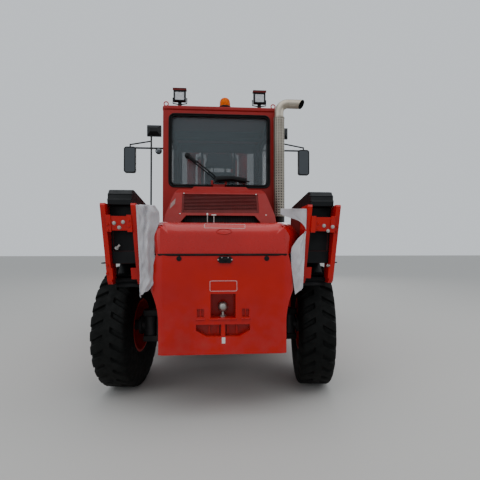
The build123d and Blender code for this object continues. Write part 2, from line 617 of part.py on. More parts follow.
def make_radiator_grille():
    """Fine sloping slats between the hood's cheeks, over a plain band, carried by two end bars."""
    z_low, z_high = GRILLE[0] + SEAT_GAP, GRILLE[1] - SEAT_GAP
    half = GRILLE_HALF - SEAT_GAP

    def strip(low, high, front, back, x_low, x_high):
        return prism_x([(hood_slope_y(low) + front, low), (hood_slope_y(high) + front, high),
                        (hood_slope_y(high) + back, high), (hood_slope_y(low) + back, low)], x_low, x_high)

    grille = both_sides(strip(z_low, z_high, 4, 34, half - 24, half))
    grille += strip(z_low, z_low + 42, 10, 34, -half + 1, half - 1)
    pitch = (z_high - z_low - 42) / GRILLE_SLATS
    for index in range(GRILLE_SLATS):
        z = z_low + 42 + pitch * (index + 0.35)
        y = hood_slope_y(z)
        grille += prism_x([(y + 6, z), (y + 14, z + 0.55 * pitch), (y + 34, z + 0.55 * pitch), (y + 26, z)],
                          -half + 1, half - 1)
    return grille


def make_radiator():
    rear = HOOD_REAR + 220
    return box((-RADIATOR_HALF, RADIATOR_HALF), (rear, rear + RADIATOR_DEPTH), (FRAME_TOP + 12, RADIATOR_TOP))


def make_engine():
    block = box((-300, 300), (ENGINE_REAR, ENGINE_FRONT), (620, 1400))
    reach = FRAME_HALF - FRAME_PLATE
    for y_foot in (ENGINE_REAR + 180, ENGINE_FRONT - 250):
        block += box((-reach, reach), (y_foot, y_foot + 100), (800, 860))
    return block


def make_exhaust_pipe():
    """The stack, with an elbow that turns out over the right side to a mouth cut at 45 degrees."""
    low = (X_EXHAUST, Y_EXHAUST, 1800)
    turn = (X_EXHAUST, Y_EXHAUST, ELBOW_Z)
    path = FilletPolyline(low, turn, (X_MOUTH, Y_EXHAUST, ELBOW_Z), radius=ELBOW_RADIUS)
    pipe = sweep(Plane(origin=low, z_dir=(0, 0, 1)) * Circle(EXHAUST_RADIUS), path=path)
    pipe -= rod_x(EXHAUST_RADIUS - EXHAUST_WALL, X_EXHAUST + 150, X_MOUTH + 1, Y_EXHAUST, ELBOW_Z)
    top, reach = ELBOW_Z + EXHAUST_RADIUS, 2 * EXHAUST_RADIUS
    pipe -= prism_y([(X_MOUTH, top), (X_MOUTH - reach, top - reach), (X_MOUTH - reach, top - reach - 20),
                     (X_MOUTH + 20, top - reach - 20), (X_MOUTH + 20, top)], Y_EXHAUST - 90, Y_EXHAUST + 90)
    foot = box((HOOD_HALF, X_EXHAUST + 40), (Y_EXHAUST - 60, Y_EXHAUST + 60), (1780, 1800))
    return pipe + foot


def make_exhaust_shield():
    ring = rod_z(SHIELD_RADIUS, SHIELD_LOW, SHIELD_HIGH, X_EXHAUST, Y_EXHAUST)
    ring -= rod_z(EXHAUST_RADIUS + SEAT_GAP, SHIELD_LOW - 1, SHIELD_LOW + 20, X_EXHAUST, Y_EXHAUST)
    ring -= rod_z(SHIELD_RADIUS - 4, SHIELD_LOW + 20, SHIELD_HIGH + 1, X_EXHAUST, Y_EXHAUST)
    for z_strap in (2560, 3200):
        ring += box((X_EXHAUST - 60, X_EXHAUST - 24),
                    (Y_EXHAUST + SHIELD_RADIUS - 14, Y_CAB_REAR), (z_strap, z_strap + 40))
    return ring


def make_mirrors():
    """On each side a post from the deck, and two tubes from it that hold a mirror."""
    x_head = (X_MIRROR[0] + X_MIRROR[1]) / 2
    head = Plane.XZ * RectangleRounded(X_MIRROR[1] - X_MIRROR[0], Z_MIRROR[1] - Z_MIRROR[0], 45)
    head = Pos(x_head, Y_POST, (Z_MIRROR[0] + Z_MIRROR[1]) / 2) * extrude(head, amount=28, both=True)
    post = rod_z(16, DECK_TOP, POST_TOP, X_POST, Y_POST)
    upper = rod_between(13, (X_POST, Y_POST, POST_TOP - 15), (x_head, Y_POST, Z_MIRROR[1] + 45))
    drop = rod_z(13, Z_MIRROR[1] - 10, Z_MIRROR[1] + 57, x_head, Y_POST)
    lower = rod_x(16, CAB_HALF + SEAT_GAP, x_head, Y_POST, Z_MIRROR[1] - 15)
    small = rod_y(56, Y_POST - 40, Y_POST - 14, 1095, Z_MIRROR[1] - 75)
    stem = rod_z(10, Z_MIRROR[1] - 40, Z_MIRROR[1] - 15, 1095, Y_POST - 10) \
        + rod_y(10, Y_POST - 20, Y_POST, 1095, Z_MIRROR[1] - 30)
    return both_sides(head + post + upper + drop + lower + small + stem)


def lamp_form(width, height, depth, y_face):
    """A lamp housing that narrows to its back, with a flat face at y_face."""
    half, low, high = width / 2, -height / 2, height / 2
    side = prism_x([(0, low), (0, high), (0.45 * depth, high), (depth, 0.35 * high), (depth, 0.35 * low),
                    (0.45 * depth, low)], -half, half)
    plan = prism_z([(-half, 0), (half, 0), (half, 0.45 * depth), (0.5 * half, depth), (-0.5 * half, depth),
                    (-half, 0.45 * depth)], low, high)
    return Pos(0, y_face, 0) * (side & plan)


def make_work_lamps():
    """Two lamps on the roof that shine back, and two on the posts that shine ahead."""
    rear = Pos(570, 0, Z_ROOF + 152) * lamp_form(176, 176, 105, Y_CAB_REAR + 10)
    rear += box((482, 658), (Y_CAB_REAR - 2, Y_CAB_REAR + 70), (Z_ROOF + 240, Z_ROOF + 250))
    rear += box((545, 595), (Y_CAB_REAR + 35, Y_CAB_REAR + 75), (Z_ROOF, Z_ROOF + 68))
    front = Pos(1185, Y_POST, Z_ROOF + 155) * Rot(0, 0, 180) * lamp_form(260, 200, 130, -60)
    front += rod_z(16, POST_TOP + SEAT_GAP, Z_ROOF + 60, X_POST, Y_POST)
    return both_sides(rear + front)


def make_beacon():
    """The turning lamp's base and its domed lens, offset to the right of the middle."""
    # height over the roof, radius
    rows = [(0, 66), (70, 66), (78, 86), (150, 86), (190, 68), (214, 36), (220, 10)]
    return Pos(80, Y_CAB_REAR + 230, Z_ROOF) * turned(rows, 20)


def arc_sheet(radius, thickness, start_deg, end_deg, x_low, x_high, y, z):
    """A curved sheet round an axle; angles run from straight ahead, up and over."""
    outer = Circle(radius + thickness) - Circle(radius)
    reach = 2 * radius
    steps = 6
    span = (end_deg - start_deg) / steps
    corners = [(0, 0)]
    for index in range(steps + 1):
        angle = math.radians(start_deg + index * span)
        corners.append((reach * math.cos(angle), reach * math.sin(angle)))
    sector = make_face(Polyline(*corners, close=True))
    face = Plane.YZ.offset(x_low) * (outer & sector)
    return Pos(0, y, z) * extrude(face, amount=x_high - x_low, dir=(1, 0, 0))


def stay_x(x, z):
    """Where something that stands at x at the stays' foot lies at a height."""
    return x + STAY_LEAN * (z - STAY_BOTTOM)


def leaning_prism(outline, x_low, x_high):
    """An outline of (y, z) points drawn out along X, with sides that lean like the stays."""
    low, high = min(z for _, z in outline), max(z for _, z in outline)
    corners = [(stay_x(x_low, low), low), (stay_x(x_high, low), low), (stay_x(x_high, high), high),
               (stay_x(x_low, high), high)]
    y_low, y_high = min(y for y, _ in outline), max(y for y, _ in outline)
    return prism_x(outline, x_low - 200, x_high + 200) & prism_y(corners, y_low, y_high)


def make_mudguards():
    front = arc_sheet(FRONT_GUARD_RADIUS, GUARD_SHEET, 60, 165, X_DUAL_INNER_FACE - 20,
                      FRONT_WIDTH / 2, Y_FRONT_AXLE, Z_AXLE)
    for x_prop in (X_DUAL_INNER_FACE + 40, DECK_HALF - 80):
        prop = box((x_prop, x_prop + 40), (Y_DECK_FRONT - 140, Y_DECK_FRONT - 20),
                   (1000, FRAME_TOP - SEAT_GAP))
        front += prop - rod_x(FRONT_GUARD_RADIUS + 2, 0, FRONT_WIDTH, Y_FRONT_AXLE, Z_AXLE)
    top = REAR_GUARD_BOTTOM
    sheet = GUARD_SHEET
    rear = box(X_REAR_GUARD, (Y_REAR_AXLE - 474, Y_CAB_REAR - SEAT_GAP), (top, top + sheet))
    # the sheet's tail slopes down behind the wheel and ends in two ridges
    # distance behind the axle, height over the sheet's underside
    tail = [(470, 0), (640, -155), (650, -163), (700, -225), (712, -217), (690, -185), (715, -163),
            (690, -135), (668, -163), (646, -135), (671, -113), (646, -87), (630, -125), (476, sheet),
            (470, sheet)]
    rear += leaning_prism([(Y_REAR_AXLE - behind, top + rise) for behind, rise in tail], *X_BOX)
    return both_sides(front + rear)


def make_rear_stays():
    """Two leaning plates over each rear wheel and the bolted plate across them."""
    outline = [(Y_TAIL + 160, STAY_BOTTOM + 30), (Y_TAIL + 185, STAY_BOTTOM), (Y_TAIL + 300, STAY_BOTTOM),
               (Y_TAIL + 330, STAY_BOTTOM + 30), (Y_TAIL + 330, STAY_TOP - 560), (Y_TAIL + 300, STAY_TOP),
               (Y_TAIL + 50, STAY_TOP), (Y_TAIL + 40, STAY_TOP - 20)]
    plates = leaning_prism(outline, X_STAY_INNER, X_BOX[0])
    plates += leaning_prism(outline, X_STAY_OUTER, X_STAY_OUTER + STAY_PLATE)

    def slab(y_foot, y_head, thickness, low, high, x_low, x_high):
        return leaning_prism([(y_foot, low), (y_foot + thickness, low), (y_head + thickness, high),
                              (y_head, high)], x_low, x_high)

    # y at its foot and head, thickness, low, high, x low, x high (at the stays' foot)
    cross = Y_TAIL + 52
    slabs = (
        (cross + 12, cross, 18, STAY_TOP - 256, STAY_TOP - 121, *X_BOX),
        (cross + 2, cross - 10, 10, STAY_TOP - 270, STAY_TOP - 110, X_BOX[0], X_BOX[0] + 44),
        (cross + 2, cross - 10, 10, STAY_TOP - 270, STAY_TOP - 110, X_BOX[1] - 44, X_BOX[1]),
        (Y_TAIL + 156, Y_TAIL + 140, 20, STAY_BOTTOM + 50, STAY_BOTTOM + 160, X_BOX[0], X_BOX[0] + 52),
        (Y_TAIL + 156, Y_TAIL + 140, 20, STAY_BOTTOM + 50, STAY_BOTTOM + 160, X_STAY_OUTER - 12, X_STAY_OUTER),
        (Y_TAIL + 80, Y_TAIL + 80, 180, STAY_TOP - 95, STAY_TOP - 25, X_STAY_INNER - 40, X_STAY_INNER),
    )
    for row in slabs:
        plates += slab(*row)
    return both_sides(plates)


def make_side_boxes():
    """Boxes between the stays, open below, each with a deep recess in its rear wall."""
    floor = REAR_GUARD_BOTTOM + GUARD_SHEET
    wall = 20
    shell = leaning_prism([(BOX_REAR, floor), (BOX_FRONT, floor), (BOX_FRONT, BOX_TOP), (BOX_REAR, BOX_TOP)],
                          *X_BOX)
    shell -= leaning_prism([(BOX_REAR + wall, floor - 1), (BOX_FRONT - wall, floor - 1),
                            (BOX_FRONT - wall, BOX_TOP - wall), (BOX_REAR + wall, BOX_TOP - wall)],
                           X_BOX[0] + wall, X_BOX[1] - wall)
    low, high = BOX_TOP - 440, BOX_TOP - 100
    recess = leaning_prism([(BOX_REAR - 1, low), (BOX_REAR + 12, low), (BOX_REAR + 12, high), (BOX_REAR - 1, high)],
                           X_BOX[0] + wall, X_BOX[1] - wall)
    return both_sides(shell - recess)


def make_box_lids():
    """Moulded lids with a stepped back, on the boxes over the rear wheels."""
    base = BOX_TOP + SEAT_GAP
    # distance from the tail, height over the box
    steps = [(110, 0), (108, 50), (128, 60), (134, 108), (160, 122), (190, 152), (260, 165)]
    outline = [(Y_TAIL + back, base + rise) for back, rise in steps]
    outline += [(BOX_FRONT, base + 90), (BOX_FRONT, base)]
    return both_sides(leaning_prism(outline, X_BOX[0] + 5, X_BOX[1] - 5))


def make_packing_sheets():
    """Thin protective sheets that hang from the inner stays beside the tail."""
    y_sheet = (Y_TAIL + 52, Y_TAIL + 60)
    # distance in from the stay and down from its top, along each sheet's free edge
    left = [(150, 10), (215, 80), (205, 158), (135, 297), (112, 476), (100, 729)]
    right = [(250, 50), (225, 130), (30, 265), (95, 323), (115, 450), (108, 570), (80, 872)]

    def sheet(rows, length):
        free = [(stay_x(X_STAY_INNER, STAY_TOP - drop) - inward, STAY_TOP - drop) for inward, drop in rows]
        hung = [(stay_x(X_STAY_INNER, STAY_TOP - drop) - SEAT_GAP, STAY_TOP - drop)
                for drop in (length, rows[0][1])]
        return prism_y(free + hung, *y_sheet)

    return sheet(right, 795) + mirrored(sheet(left, 896))


def make_tow_pin():
    """The drawbar pin, with a ball that shows in the recess."""
    y_pin = Y_TAIL + 90
    pin = rod_z(16, TOW_RECESS[0], TOW_RECESS[1], 0, y_pin)
    ball_z = (TOW_RECESS[0] + TOW_RECESS[1]) / 2 - 20
    return pin + Pos(0, y_pin, ball_z) * turned([(-44, 18), (-30, 38), (0, 48), (30, 38), (44, 18)], 20)


def make_drive_axle():
    axle = rod_x(HOUSING_RADIUS, -X_DUAL_INNER_FACE + 22, X_DUAL_INNER_FACE - 22, Y_FRONT_AXLE, Z_AXLE)
    axle += rod_x(280, -190, 190, Y_FRONT_AXLE - 100, Z_AXLE)
    spindle = rod_x(120, X_DUAL_INNER_FACE - 22, X_OUTER_TYRE - 100, Y_FRONT_AXLE, Z_AXLE)
    return axle + both_sides(spindle)


def make_steer_axle():
    """A fabricated beam with a yoke at each end for the kingpin."""
    half = 120.0
    beam = prism_y([(-740, 575), (-300, 480), (300, 480), (740, 575), (740, 795), (300, 950),
                    (-300, 950), (-740, 795)], Y_REAR_AXLE - half, Y_REAR_AXLE + half)
    y_yoke = (Y_REAR_AXLE - 75, Y_REAR_AXLE + 75)
    yoke = box((X_KINGPIN - 120, X_KINGPIN - 82), y_yoke, (505, 865))
    for z_low in (505, 800):
        yoke += box((X_KINGPIN - 110, X_KINGPIN + 70), y_yoke, (z_low, z_low + 65))
    yoke -= rod_z(35 + SHAFT_FIT, 504, 866, X_KINGPIN, Y_REAR_AXLE)
    return beam + both_sides(yoke)


def parked(solid, side):
    """A steered piece, turned about its kingpin to where the truck was left."""
    x_pin = side * X_KINGPIN
    return Pos(x_pin, Y_REAR_AXLE, 0) * Rot(0, 0, STEER_PARKED) * Pos(-x_pin, -Y_REAR_AXLE, 0) * solid


def make_knuckle(side):
    body = rod_z(72, 570 + KNUCKLE_GAP, 800 - KNUCKLE_GAP, X_KINGPIN, Y_REAR_AXLE)
    pin = rod_z(35, 505, 865, X_KINGPIN, Y_REAR_AXLE)
    spindle = rod_x(SPINDLE_RADIUS, X_KINGPIN, X_REAR_TYRE + 20, Y_REAR_AXLE, Z_AXLE)
    flange = rod_x(105, X_KINGPIN + 80, X_KINGPIN + 110, Y_REAR_AXLE, Z_AXLE)
    knuckle = body + pin + spindle + flange
    return parked(knuckle if side > 0 else mirrored(knuckle), side)


def make_tyre(x_middle, y_axle):
    """One tyre, with flat facets from bead to bead and round its bore."""
    half = TYRE_WIDTH / 2
    tread = TYRE_DIAMETER / 2
    # distance from the middle plane, radius
    side = [(0.8 * half, RIM_RADIUS + SEAT_GAP), (0.8 * half, BEAD_RADIUS), (half, WALL_RADIUS),
            (0.93 * half, tread - SHOULDER_DROP), (0.72 * half, tread)]
    other = [(-offset, radius) for offset, radius in reversed(side)]
    return Pos(x_middle, y_axle, Z_AXLE) * Rot(0, 90, 0) * turned(side + other, TYRE_FACETS, closed=True)


def make_rim(x_low, x_high, x_disc, hub_end, spindle_radius, spindle_end, y_axle):
    """Barrel, disc and hub of one wheel on the right side, round its spindle."""
    rim = rod_x(RIM_RADIUS, x_low, x_high, y_axle, Z_AXLE)
    rim -= rod_x(RIM_RADIUS - RIM_WALL, x_low - 1, x_disc, y_axle, Z_AXLE)
    rim -= rod_x(RIM_RADIUS - RIM_WALL, x_disc + 30, x_high + 1, y_axle, Z_AXLE)
    rim += rod_x(spindle_radius + 45, x_disc - 60, hub_end, y_axle, Z_AXLE)
    return rim - rod_x(spindle_radius + SHAFT_FIT, x_low - 1, spindle_end + 1, y_axle, Z_AXLE)


def make_rear_rim(side):
    barrel = 0.8 * TYRE_WIDTH / 2
    rim = make_rim(X_REAR_TYRE - barrel, X_REAR_TYRE + barrel, X_REAR_TYRE + 20, X_REAR_TYRE + 130,
                   SPINDLE_RADIUS, X_REAR_TYRE + 20, Y_REAR_AXLE)
    return parked(rim if side > 0 else mirrored(rim), side)


def make_front_rim(side):
    barrel = 0.8 * TYRE_WIDTH / 2
    rim = make_rim(X_INNER_TYRE - barrel, X_OUTER_TYRE + barrel, X_OUTER_TYRE - 140, X_OUTER_TYRE + 130,
                   120, X_OUTER_TYRE - 100, Y_FRONT_AXLE)
    return rim if side > 0 else mirrored(rim)


def channel(x_outer, y_low, y_high, flange, z_low, z_high):
    """A rolled channel on the right side, its web outside and its flanges pointing in."""
    rail = box((x_outer - flange, x_outer), (y_low, y_high), (z_low, z_high))
    return rail - box((x_outer - flange - 1, x_outer - RAIL_PLATE),
                      (y_low + RAIL_PLATE, y_high - RAIL_PLATE), (z_low - 1, z_high + 1))


def make_mast_outer():
    mast = both_sides(channel(MAST_HALF, MAST_BACK, MAST_BACK + MAST_DEPTH, RAIL_FLANGE,
                              MAST_BOTTOM, MAST_TOP))
    # lowest and highest point of each cross beam
    for z_low, z_high in ((MAST_BOTTOM, MAST_BOTTOM + 150), (LIFT_FOOT - 60, LIFT_FOOT),
                          (CHAIN_ANCHOR_Z - 150, CHAIN_ANCHOR_Z), (MAST_TOP - 160, MAST_TOP)):
        mast += box((-MAST_HALF, MAST_HALF), (MAST_BACK - 30, MAST_BACK), (z_low, z_high))
    shelf = box((LIFT_X - 80, LIFT_X + 80), (LIFT_Y - 75, MAST_BACK - 20), (LIFT_FOOT - 30, LIFT_FOOT))
    x_saddle = (MAST_HALF - 135, MAST_HALF - 15)
    ring = rod_x(HOUSING_RADIUS + SADDLE_WALL, *x_saddle, Y_FRONT_AXLE, Z_AXLE)
    ring += box(x_saddle, (Y_FRONT_AXLE, MAST_BACK), (Z_AXLE - 220, Z_AXLE + 220))
    ring -= rod_x(HOUSING_RADIUS + SEAT_GAP, x_saddle[0] - 1, x_saddle[1] + 1, Y_FRONT_AXLE, Z_AXLE)
    eye_y, eye_z = TILT_EYE
    ear_outline = [(MAST_BACK, eye_z - 110), (MAST_BACK, eye_z + 110), (eye_y - 40, eye_z + 45),
                   (eye_y - 40, eye_z - 45)]
    ears = prism_x(ear_outline, X_TILT - 70, X_TILT - 45) + prism_x(ear_outline, X_TILT + 45, X_TILT + 70)
    pin = rod_x(25, X_TILT - 70, X_TILT + 70, eye_y, eye_z)
    anchor = box((CHAIN_X - 50, CHAIN_X + 50), (MAST_BACK - 1, CHAIN_REAR_Y + CHAIN_DEPTH),
                 (CHAIN_ANCHOR_Z - 60, CHAIN_ANCHOR_Z))
    return mast + both_sides(ring + ears + pin + shelf + anchor)


def make_mast_inner():
    mast = both_sides(channel(INNER_OUTER_X, INNER_BACK, INNER_FRONT, INNER_FLANGE, INNER_BOTTOM, INNER_TOP))
    inner_gap = INNER_OUTER_X - INNER_FLANGE
    for z_low, z_high in ((INNER_BOTTOM, INNER_BOTTOM + 120), (INNER_TOP - 150, INNER_TOP)):
        mast += box((-inner_gap, inner_gap), (INNER_BACK, INNER_BACK + RAIL_PLATE), (z_low, z_high))
    mast += box((-LIFT_X - 70, LIFT_X + 70), (LIFT_Y - 60, INNER_BACK + RAIL_PLATE),
                (MAST_TOP + MOVING_GAP, INNER_TOP))
    wheel_y = CHAIN_FRONT_Y - CHAIN_WHEEL_RADIUS
    wheel = rod_x(CHAIN_WHEEL_RADIUS - SEAT_GAP, CHAIN_X - 40, CHAIN_X + 40, wheel_y, CHAIN_WHEEL_Z)
    wheel += rod_x(30, CHAIN_X - 75, CHAIN_X + 75, wheel_y, CHAIN_WHEEL_Z)
    cheek = prism_x([(INNER_BACK + RAIL_PLATE, INNER_TOP - 260), (INNER_BACK + RAIL_PLATE, INNER_TOP),
                     (wheel_y + 45, CHAIN_WHEEL_Z + 45), (wheel_y + 45, CHAIN_WHEEL_Z - 45)],
                    CHAIN_X + 50, CHAIN_X + 70)
    other = Pos(-120, 0, 0) * cheek
    return mast + both_sides(wheel + cheek + other)


def make_lift_barrels():
    return both_sides(rod_z(LIFT_BARREL_RADIUS, LIFT_FOOT, LIFT_NECK, LIFT_X, LIFT_Y)
                      - rod_z(LIFT_ROD_RADIUS + SHAFT_FIT, LIFT_FOOT + 150, LIFT_NECK + 1, LIFT_X, LIFT_Y))


def make_lift_rods():
    return both_sides(rod_z(LIFT_ROD_RADIUS, LIFT_FOOT + 200, MAST_TOP + MOVING_GAP, LIFT_X, LIFT_Y))


def chain_run(y_low, z_low, z_high):
    """A straight run of leaf chain, its plates drawn in between the pins."""
    links = round((z_high - z_low) / CHAIN_PITCH)
    pitch = (z_high - z_low) / links
    edge = []
    for index in range(links):
        z = z_low + index * pitch
        edge += [(0, z), (CHAIN_WAIST, z + pitch / 2)]
    edge.append((0, z_high))
    outline = [(y_low + waist, z) for waist, z in edge]
    outline += [(y_low + CHAIN_DEPTH - waist, z) for waist, z in reversed(edge)]
    return prism_x(outline, CHAIN_X - CHAIN_WIDTH / 2, CHAIN_X + CHAIN_WIDTH / 2)


def make_lift_chains():
    """Leaf chains over the wheels on the inner mast, from the carriage to the outer mast."""
    x_low = CHAIN_X - CHAIN_WIDTH / 2
    x_high = CHAIN_X + CHAIN_WIDTH / 2
    wheel_y = CHAIN_FRONT_Y - CHAIN_WHEEL_RADIUS
    outer = CHAIN_WHEEL_RADIUS + CHAIN_DEPTH
    wrap = rod_x(outer, x_low, x_high, wheel_y, CHAIN_WHEEL_Z)
    wrap -= rod_x(CHAIN_WHEEL_RADIUS, x_low - 1, x_high + 1, wheel_y, CHAIN_WHEEL_Z)
    wrap -= box((x_low - 1, x_high + 1), (wheel_y - outer - 1, wheel_y + outer + 1),
                (CHAIN_WHEEL_Z - outer - 1, CHAIN_WHEEL_Z))
    front = chain_run(CHAIN_FRONT_Y, CARRIAGE_TOP - 230, CHAIN_WHEEL_Z)
    rear = chain_run(CHAIN_REAR_Y, CHAIN_ANCHOR_Z + SEAT_GAP, CHAIN_WHEEL_Z)
    return both_sides(wrap + front + rear)


def make_carriage():
    y_low = CARRIAGE_BACK
    y_high = CARRIAGE_BACK + CARRIAGE_PLATE
    carriage = box((-CARRIAGE_HALF, CARRIAGE_HALF), (y_low, y_high), (CARRIAGE_BOTTOM, CARRIAGE_BOTTOM + 220))
    carriage += box((-CARRIAGE_HALF, CARRIAGE_HALF), (y_low, y_high), (CARRIAGE_TOP - 260, CARRIAGE_TOP))
    arm = prism_x([(ROLLER_Y - 60, CARRIAGE_BOTTOM + 120), (y_low, CARRIAGE_BOTTOM), (y_low, CARRIAGE_TOP),
                   (ROLLER_Y - 60, CARRIAGE_TOP - 60)], ARM_OUTER - 50, ARM_OUTER)
    post = box((ARM_OUTER - 50, ARM_OUTER), (y_low, y_high), (CARRIAGE_BOTTOM, CARRIAGE_TOP))
    for z in (CARRIAGE_BOTTOM + 200, CARRIAGE_TOP - 140):
        arm += rod_x(40, ARM_OUTER - 1, ARM_OUTER + 30, ROLLER_Y, z)
        arm += rod_x(ROLLER_RADIUS, ARM_OUTER + 16, ARM_OUTER + 100, ROLLER_Y, z)
    lug = box((CHAIN_X - 50, CHAIN_X + 50), (CHAIN_FRONT_Y + 36, y_low + 1), (CARRIAGE_TOP - 230, CARRIAGE_TOP - 60))
    return carriage + both_sides(arm + post + lug)


def make_fork(side):
    """An L-shaped fork that hangs over the carriage's top bar."""
    shank_back = CARRIAGE_BACK + CARRIAGE_PLATE + SEAT_GAP
    top_face = FORK_FLOOR_GAP + FORK_THICKNESS
    tip = -Y_TAIL
    outline = [(shank_back, FORK_FLOOR_GAP + 60), (shank_back + 60, FORK_FLOOR_GAP),
               (Y_FORK_FACE + 1200, FORK_FLOOR_GAP), (tip, top_face - FORK_TIP_THICKNESS), (tip, top_face),
               (Y_FORK_FACE, top_face), (Y_FORK_FACE, FORK_TOP), (CARRIAGE_BACK, FORK_TOP),
               (CARRIAGE_BACK, CARRIAGE_TOP + SEAT_GAP), (shank_back, CARRIAGE_TOP + SEAT_GAP)]
    fork = prism_x(outline, X_FORK - FORK_WIDTH / 2, X_FORK + FORK_WIDTH / 2)
    return fork if side > 0 else mirrored(fork)


def tilt_direction():
    """The tilt cylinder's length and the angle of its axis above the horizontal."""
    dy = TILT_EYE[0] - TILT_FOOT[0]
    dz = TILT_EYE[1] - TILT_FOOT[1]
    return math.hypot(dy, dz), math.degrees(math.atan2(dz, dy))


def tilt_piece(radius, start, end):
    """A round piece on the tilt cylinder's axis, between distances from its foot."""
    _, angle = tilt_direction()
    piece = Pos(0, (start + end) / 2, 0) * Rot(90, 0, 0) * Cylinder(radius, end - start)
    return Pos(X_TILT, *TILT_FOOT) * Rot(angle, 0, 0) * piece


def make_tilt_barrels():
    length, _ = tilt_direction()
    foot_y, foot_z = TILT_FOOT
    barrel = tilt_piece(TILT_BARREL_RADIUS, 70, length - 330)
    barrel += tilt_piece(30, 0, 80)
    barrel += rod_x(62, X_TILT - 38, X_TILT + 38, foot_y, foot_z)
    barrel -= rod_x(35 + SHAFT_FIT, X_TILT - 60, X_TILT + 60, foot_y, foot_z)
    barrel -= tilt_piece(TILT_ROD_RADIUS + SHAFT_FIT, 200, length - 329)
    return both_sides(barrel)


def make_tilt_rods():
    length, _ = tilt_direction()
    eye_y, eye_z = TILT_EYE
    rod = tilt_piece(TILT_ROD_RADIUS, 460, length - 30)
    rod += rod_x(58, X_TILT - 38, X_TILT + 38, eye_y, eye_z)
    rod -= rod_x(25 + 10, X_TILT - 60, X_TILT + 60, eye_y, eye_z)
    return both_sides(rod)


# node name and the solid of each fixed piece
save("frame", make_frame())
save("counterweight", make_counterweight())
save("tail_cover", make_tail_cover())
save("tow_pin", make_tow_pin())
save("side_tanks", make_side_tanks())
save("deck", make_deck())
save("cab_floor", make_cab_floor())
save("cab_rear_wall", make_cab_rear_wall())
save("cab_front_wall", make_cab_front_wall())
save("cab_sides", make_cab_sides())
save("cab_glass", make_cab_glass())
save("cab_roof", make_cab_roof())
save("seat", make_seat())
save("steering_column", make_steering_column())
save("hood_base", make_hood_base())
save("engine_hood", make_engine_hood())
save("radiator_grille", make_radiator_grille())
save("radiator", make_radiator())
save("engine_block", make_engine())
save("exhaust_pipe", make_exhaust_pipe())
save("exhaust_shield", make_exhaust_shield())
save("mirrors_and_rails", make_mirrors())
save("work_lamps", make_work_lamps())
save("beacon", make_beacon())
save("mudguards", make_mudguards())
save("rear_stays", make_rear_stays())
save("side_boxes", make_side_boxes())
save("box_lids", make_box_lids())
save("packing_sheets", make_packing_sheets())
save("drive_axle", make_drive_axle())
save("steer_axle", make_steer_axle())
save("mast_outer", make_mast_outer())
save("mast_inner", make_mast_inner())
save("lift_barrels", make_lift_barrels())
save("lift_rods", make_lift_rods())
save("lift_chains", make_lift_chains())
save("carriage", make_carriage())
save("tilt_barrels", make_tilt_barrels())
save("tilt_rods", make_tilt_rods())
for name, side in (("left", -1), ("right", 1)):
    save(f"door_{name}", make_door(side))
    save(f"door_glass_{name}", make_door_glass(side))
    save(f"knuckle_{name}", make_knuckle(side))
    save(f"rim_rear_{name}", make_rear_rim(side))
    save(f"rim_front_{name}", make_front_rim(side))
    save(f"tyre_rear_{name}", parked(make_tyre(side * X_REAR_TYRE, Y_REAR_AXLE), side))
    save(f"tyres_front_{name}", make_tyre(side * X_INNER_TYRE, Y_FRONT_AXLE)
         + make_tyre(side * X_OUTER_TYRE, Y_FRONT_AXLE))
    save(f"fork_{name}", make_fork(side))
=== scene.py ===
# %% [markdown]
# # A heavy diesel forklift, dressed around its measured frame
# The truck's pieces come in as a fixed frame of plain solids, one per part of the real machine.
# This lesson gives each one the edges, surfaces and small parts that the eye expects: cast red
# iron, ribbed rubber, perforated stainless steel, moulded lids and glass. Lengths are in metres.

# %% Load the frame
import json
import math
import random

import bmesh
import bpy
from mathutils import Matrix, Vector


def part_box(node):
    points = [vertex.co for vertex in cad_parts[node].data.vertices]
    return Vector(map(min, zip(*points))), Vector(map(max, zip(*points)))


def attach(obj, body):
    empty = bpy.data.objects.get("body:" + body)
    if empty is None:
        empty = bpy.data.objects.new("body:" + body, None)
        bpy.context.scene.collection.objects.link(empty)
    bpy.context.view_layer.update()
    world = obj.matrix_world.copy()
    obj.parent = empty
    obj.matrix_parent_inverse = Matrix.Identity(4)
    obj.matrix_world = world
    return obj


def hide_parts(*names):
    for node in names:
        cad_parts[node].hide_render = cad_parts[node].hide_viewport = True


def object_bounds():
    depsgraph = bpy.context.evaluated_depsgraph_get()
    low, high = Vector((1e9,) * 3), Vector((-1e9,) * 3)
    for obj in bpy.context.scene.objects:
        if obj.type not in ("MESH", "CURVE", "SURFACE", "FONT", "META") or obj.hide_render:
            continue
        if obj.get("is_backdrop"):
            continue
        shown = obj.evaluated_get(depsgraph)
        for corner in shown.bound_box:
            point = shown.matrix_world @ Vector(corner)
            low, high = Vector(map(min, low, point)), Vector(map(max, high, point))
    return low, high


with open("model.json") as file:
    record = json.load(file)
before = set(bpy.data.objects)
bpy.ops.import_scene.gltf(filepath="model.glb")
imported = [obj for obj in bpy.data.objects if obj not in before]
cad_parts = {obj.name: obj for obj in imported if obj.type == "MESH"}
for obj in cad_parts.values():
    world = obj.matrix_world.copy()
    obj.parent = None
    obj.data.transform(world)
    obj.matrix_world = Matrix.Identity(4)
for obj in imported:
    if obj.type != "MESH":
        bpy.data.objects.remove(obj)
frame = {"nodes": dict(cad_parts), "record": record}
cad_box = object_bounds()
body_of_node = {node: body for body, nodes in frame["record"]["behaviour"]["bodies"].items()
                for node in nodes}
slot_of_node = {row["node"]: row["material_slot"] for row in frame["record"]["subparts"]}
print("frame", len(frame["nodes"]), "nodes,", [round(v, 3) for v in cad_box[0]],
      [round(v, 3) for v in cad_box[1]])

# %% [markdown]
# ## The camera first
# The picture was taken standing behind the truck. The joints of the floor slabs meet at one point,
# which gives the height of the horizon and the direction of the machine's own axis in the frame.
# Everything modelled later is judged through this camera, so it comes before any shape.

